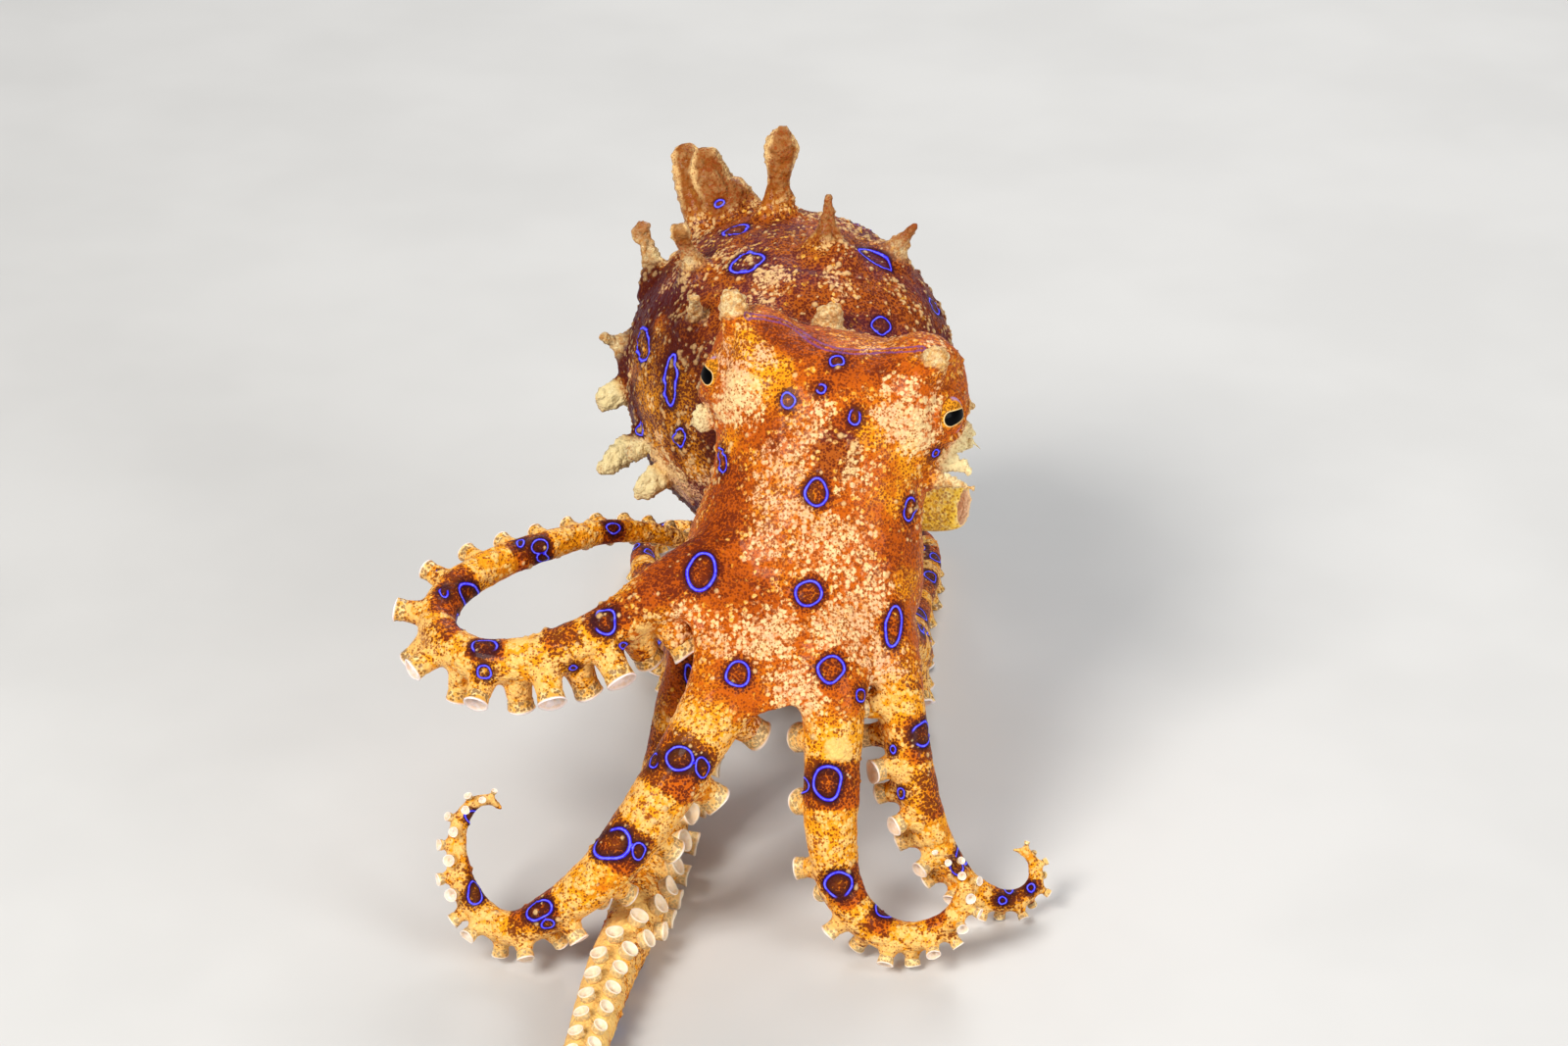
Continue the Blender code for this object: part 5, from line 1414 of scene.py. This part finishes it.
STALK_GOLD = paint(226, 166, 66)
STALK_CREAM = paint(250, 218, 152)
RIM_LILAC = paint(240, 226, 224)
HOLLOW_TAN = paint(232, 208, 190)
DISC_STRAW = paint(246, 222, 166)
SPOT_BROWN = paint(110, 60, 18)
cup_look, cup_shader, base = surface_of(
    "sucker_cup", 0.4, Specular_IOR_Level=0.2, Subsurface_Weight=0.2, Subsurface_Scale=0.0003,
    Subsurface_Radius=(1.0, 0.6, 0.45), Coat_Weight=0.15, Coat_Roughness=0.15)
place = base.place()
fine = base.mottle(place, 0.5)
rim = base.mark("rim")
cup_spots = (0.5 + fine - base.grains(place, CUP_SPOT_PITCH)).ramp(-0.06, 0.06) * rim.ramp(0.5, 0.1)
colour = fine.ramp(-0.12, 0.12).between(STALK_GOLD, STALK_CREAM)
colour = (cup_spots * 0.75).between(colour, SPOT_BROWN)
colour = rim.ramp(0.1, 0.8).between(colour, RIM_LILAC)
hollow = fine.ramp(-0.15, 0.1).between(HOLLOW_TAN, RIM_LILAC)
colour = (base.mark("hollow") * 0.9).between(colour, hollow)
colour = (base.mark("slack") * 0.65).between(colour, DISC_STRAW)
colour.feed(cup_shader, "Base Color")
base.bump(fine, 0.08, 0.5).feed(cup_shader, "Normal")

cup_mesh = mesh_from("sucker_cups", (cup_points - MODEL_CENTRE) * MM, cup_faces)
cups = dressed("sucker_cups", cup_mesh, cup_marks, cup_look)
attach(cups, "root")

# The eyes: clear, hard balls with a golden iris and a black pupil that stays level, like a thick bar with
# rounded ends, inside a thin pale line.
EYE_SIDES = 128
EYE_RINGS = 96
PUPIL_HALF_LENGTH = 1.25
PUPIL_HALF_HEIGHT = 0.5
PUPIL_TAPER = 0.34
IRIS_SPOT_PITCH = 0.2
IRIS_GOLD = paint(236, 152, 32)
IRIS_ORANGE = paint(206, 92, 18)
IRIS_BROWN = paint(84, 38, 16)
PUPIL_LINE = paint(252, 214, 146)
PUPIL_BLACK = paint(3, 3, 4)
LID_VIOLET = paint(186, 150, 200)
eye_look, eye_shader, base = surface_of(
    "octopus_eye", 0.4, Specular_IOR_Level=0.03, Coat_Weight=0.05, Coat_Roughness=0.03)
place = base.place()
streaks = base.mottle(place, 0.25, 3.0, 0.6)
iris = base.mark("below").ramp(0.2, 1.2).between(IRIS_GOLD, IRIS_ORANGE)
iris_spots = (0.5 + streaks * 1.6 - base.grains(place, IRIS_SPOT_PITCH)).ramp(-0.08, 0.08)
iris = (iris_spots * 0.7).between(iris, IRIS_BROWN)
rim = base.mark("edge").ramp(0.7, 0.86) * base.mark("outer").ramp(-0.1, 0.5)
iris = (rim * 0.85).between(iris, LID_VIOLET)
pupil = base.mark("pupil")
iris = pupil.ramp(0.11, 0.05).between(iris, PUPIL_LINE)
iris = pupil.ramp(0.05, -0.02).between(iris, PUPIL_BLACK)
iris.feed(eye_shader, "Base Color")

for side, name in ((-1, "eye_right"), (1, "eye_left")):
    centre, look, level = eye_place(side)
    up = np.cross(level, look) * side
    points, faces = ball(centre, (EYE_RADIUS,) * 3, (level, up, look), EYE_SIDES, EYE_RINGS)
    way = (points - centre) / EYE_RADIUS
    sidewise, upward, forward = way @ level, way @ up, way @ look
    flatly = np.arccos(np.clip(forward, -1, 1)) / (np.hypot(sidewise, upward) + 1e-6) * EYE_RADIUS
    x, y = sidewise * flatly, upward * flatly
    half = PUPIL_HALF_HEIGHT * (1 + PUPIL_TAPER * x / PUPIL_HALF_LENGTH)
    straight = PUPIL_HALF_LENGTH - PUPIL_HALF_HEIGHT
    pupil = np.hypot(np.maximum(np.abs(x) - straight, 0), y) - half
    eye_mesh = bpy.data.meshes.new(name + "_ball")
    eye_mesh.from_pydata(((points - MODEL_CENTRE) * MM).tolist(), [], faces)
    eye_marks = {"pupil": pupil, "below": -y, "outer": -x,
                 "edge": np.hypot(x, y) / (EYE_RADIUS * LID_OPENING)}
    eye = dressed(name + "_ball", eye_mesh, eye_marks, eye_look)
    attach(eye, "root")
    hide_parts(name)

# The studio: a wide pale floor, a large soft light from the upper left, a weaker one from the right and one
# from behind, and pale air all round.
FLOOR_HALF = 1.5
FLOOR_GREY = paint(204, 203, 200)
FLOOR_PALE = paint(210, 209, 206)
LIGHTS = (
    ("key", (-0.28, -0.34, 0.42), 0.22, 3.6, (1.0, 0.97, 0.93)),
    ("fill", (0.36, -0.3, 0.22), 0.25, 1.5, (0.96, 0.98, 1.0)),
    ("back", (0.1, 0.42, 0.38), 0.25, 1.4, (1.0, 1.0, 1.0)),
)
LIT_POINT = Vector((0, 0, 0.025))
AIR_TINT = (0.9, 0.93, 1.0, 1.0)
AIR_STRENGTH = 0.22

floor_look, floor_shader, base = surface_of("pale_floor", 0.6)
speck = base.mottle(base.place(), 30.0)
speck.ramp(-0.2, 0.2).between(FLOOR_GREY, FLOOR_PALE).feed(floor_shader, "Base Color")
floor_mesh = mesh_from("floor", ((-FLOOR_HALF, -FLOOR_HALF, 0), (FLOOR_HALF, -FLOOR_HALF, 0),
                                 (FLOOR_HALF, FLOOR_HALF, 0), (-FLOOR_HALF, FLOOR_HALF, 0)),
                       np.array([[0, 1, 2, 3]]))
floor_mesh.materials.append(floor_look)
floor = object_from("floor", floor_mesh)
for name, spot, size, power, tint in LIGHTS:
    lamp = bpy.data.lights.new(name, "AREA")
    lamp.size = size
    lamp.energy = power
    lamp.color = tint
    light_object = object_from(name, lamp)
    light_object.location = spot
    light_object.rotation_euler = (LIT_POINT - Vector(spot)).to_track_quat("-Z", "Y").to_euler()
world = bpy.data.worlds.new("studio")
bpy.context.scene.world = world
world.use_nodes = True
air = world.node_tree.nodes["Background"]
air.inputs["Color"].default_value = AIR_TINT
air.inputs["Strength"].default_value = AIR_STRENGTH

# The colours above are given as a screen shows them, so the picture is drawn without a film's curve.
bpy.context.scene.view_settings.view_transform = "Standard"
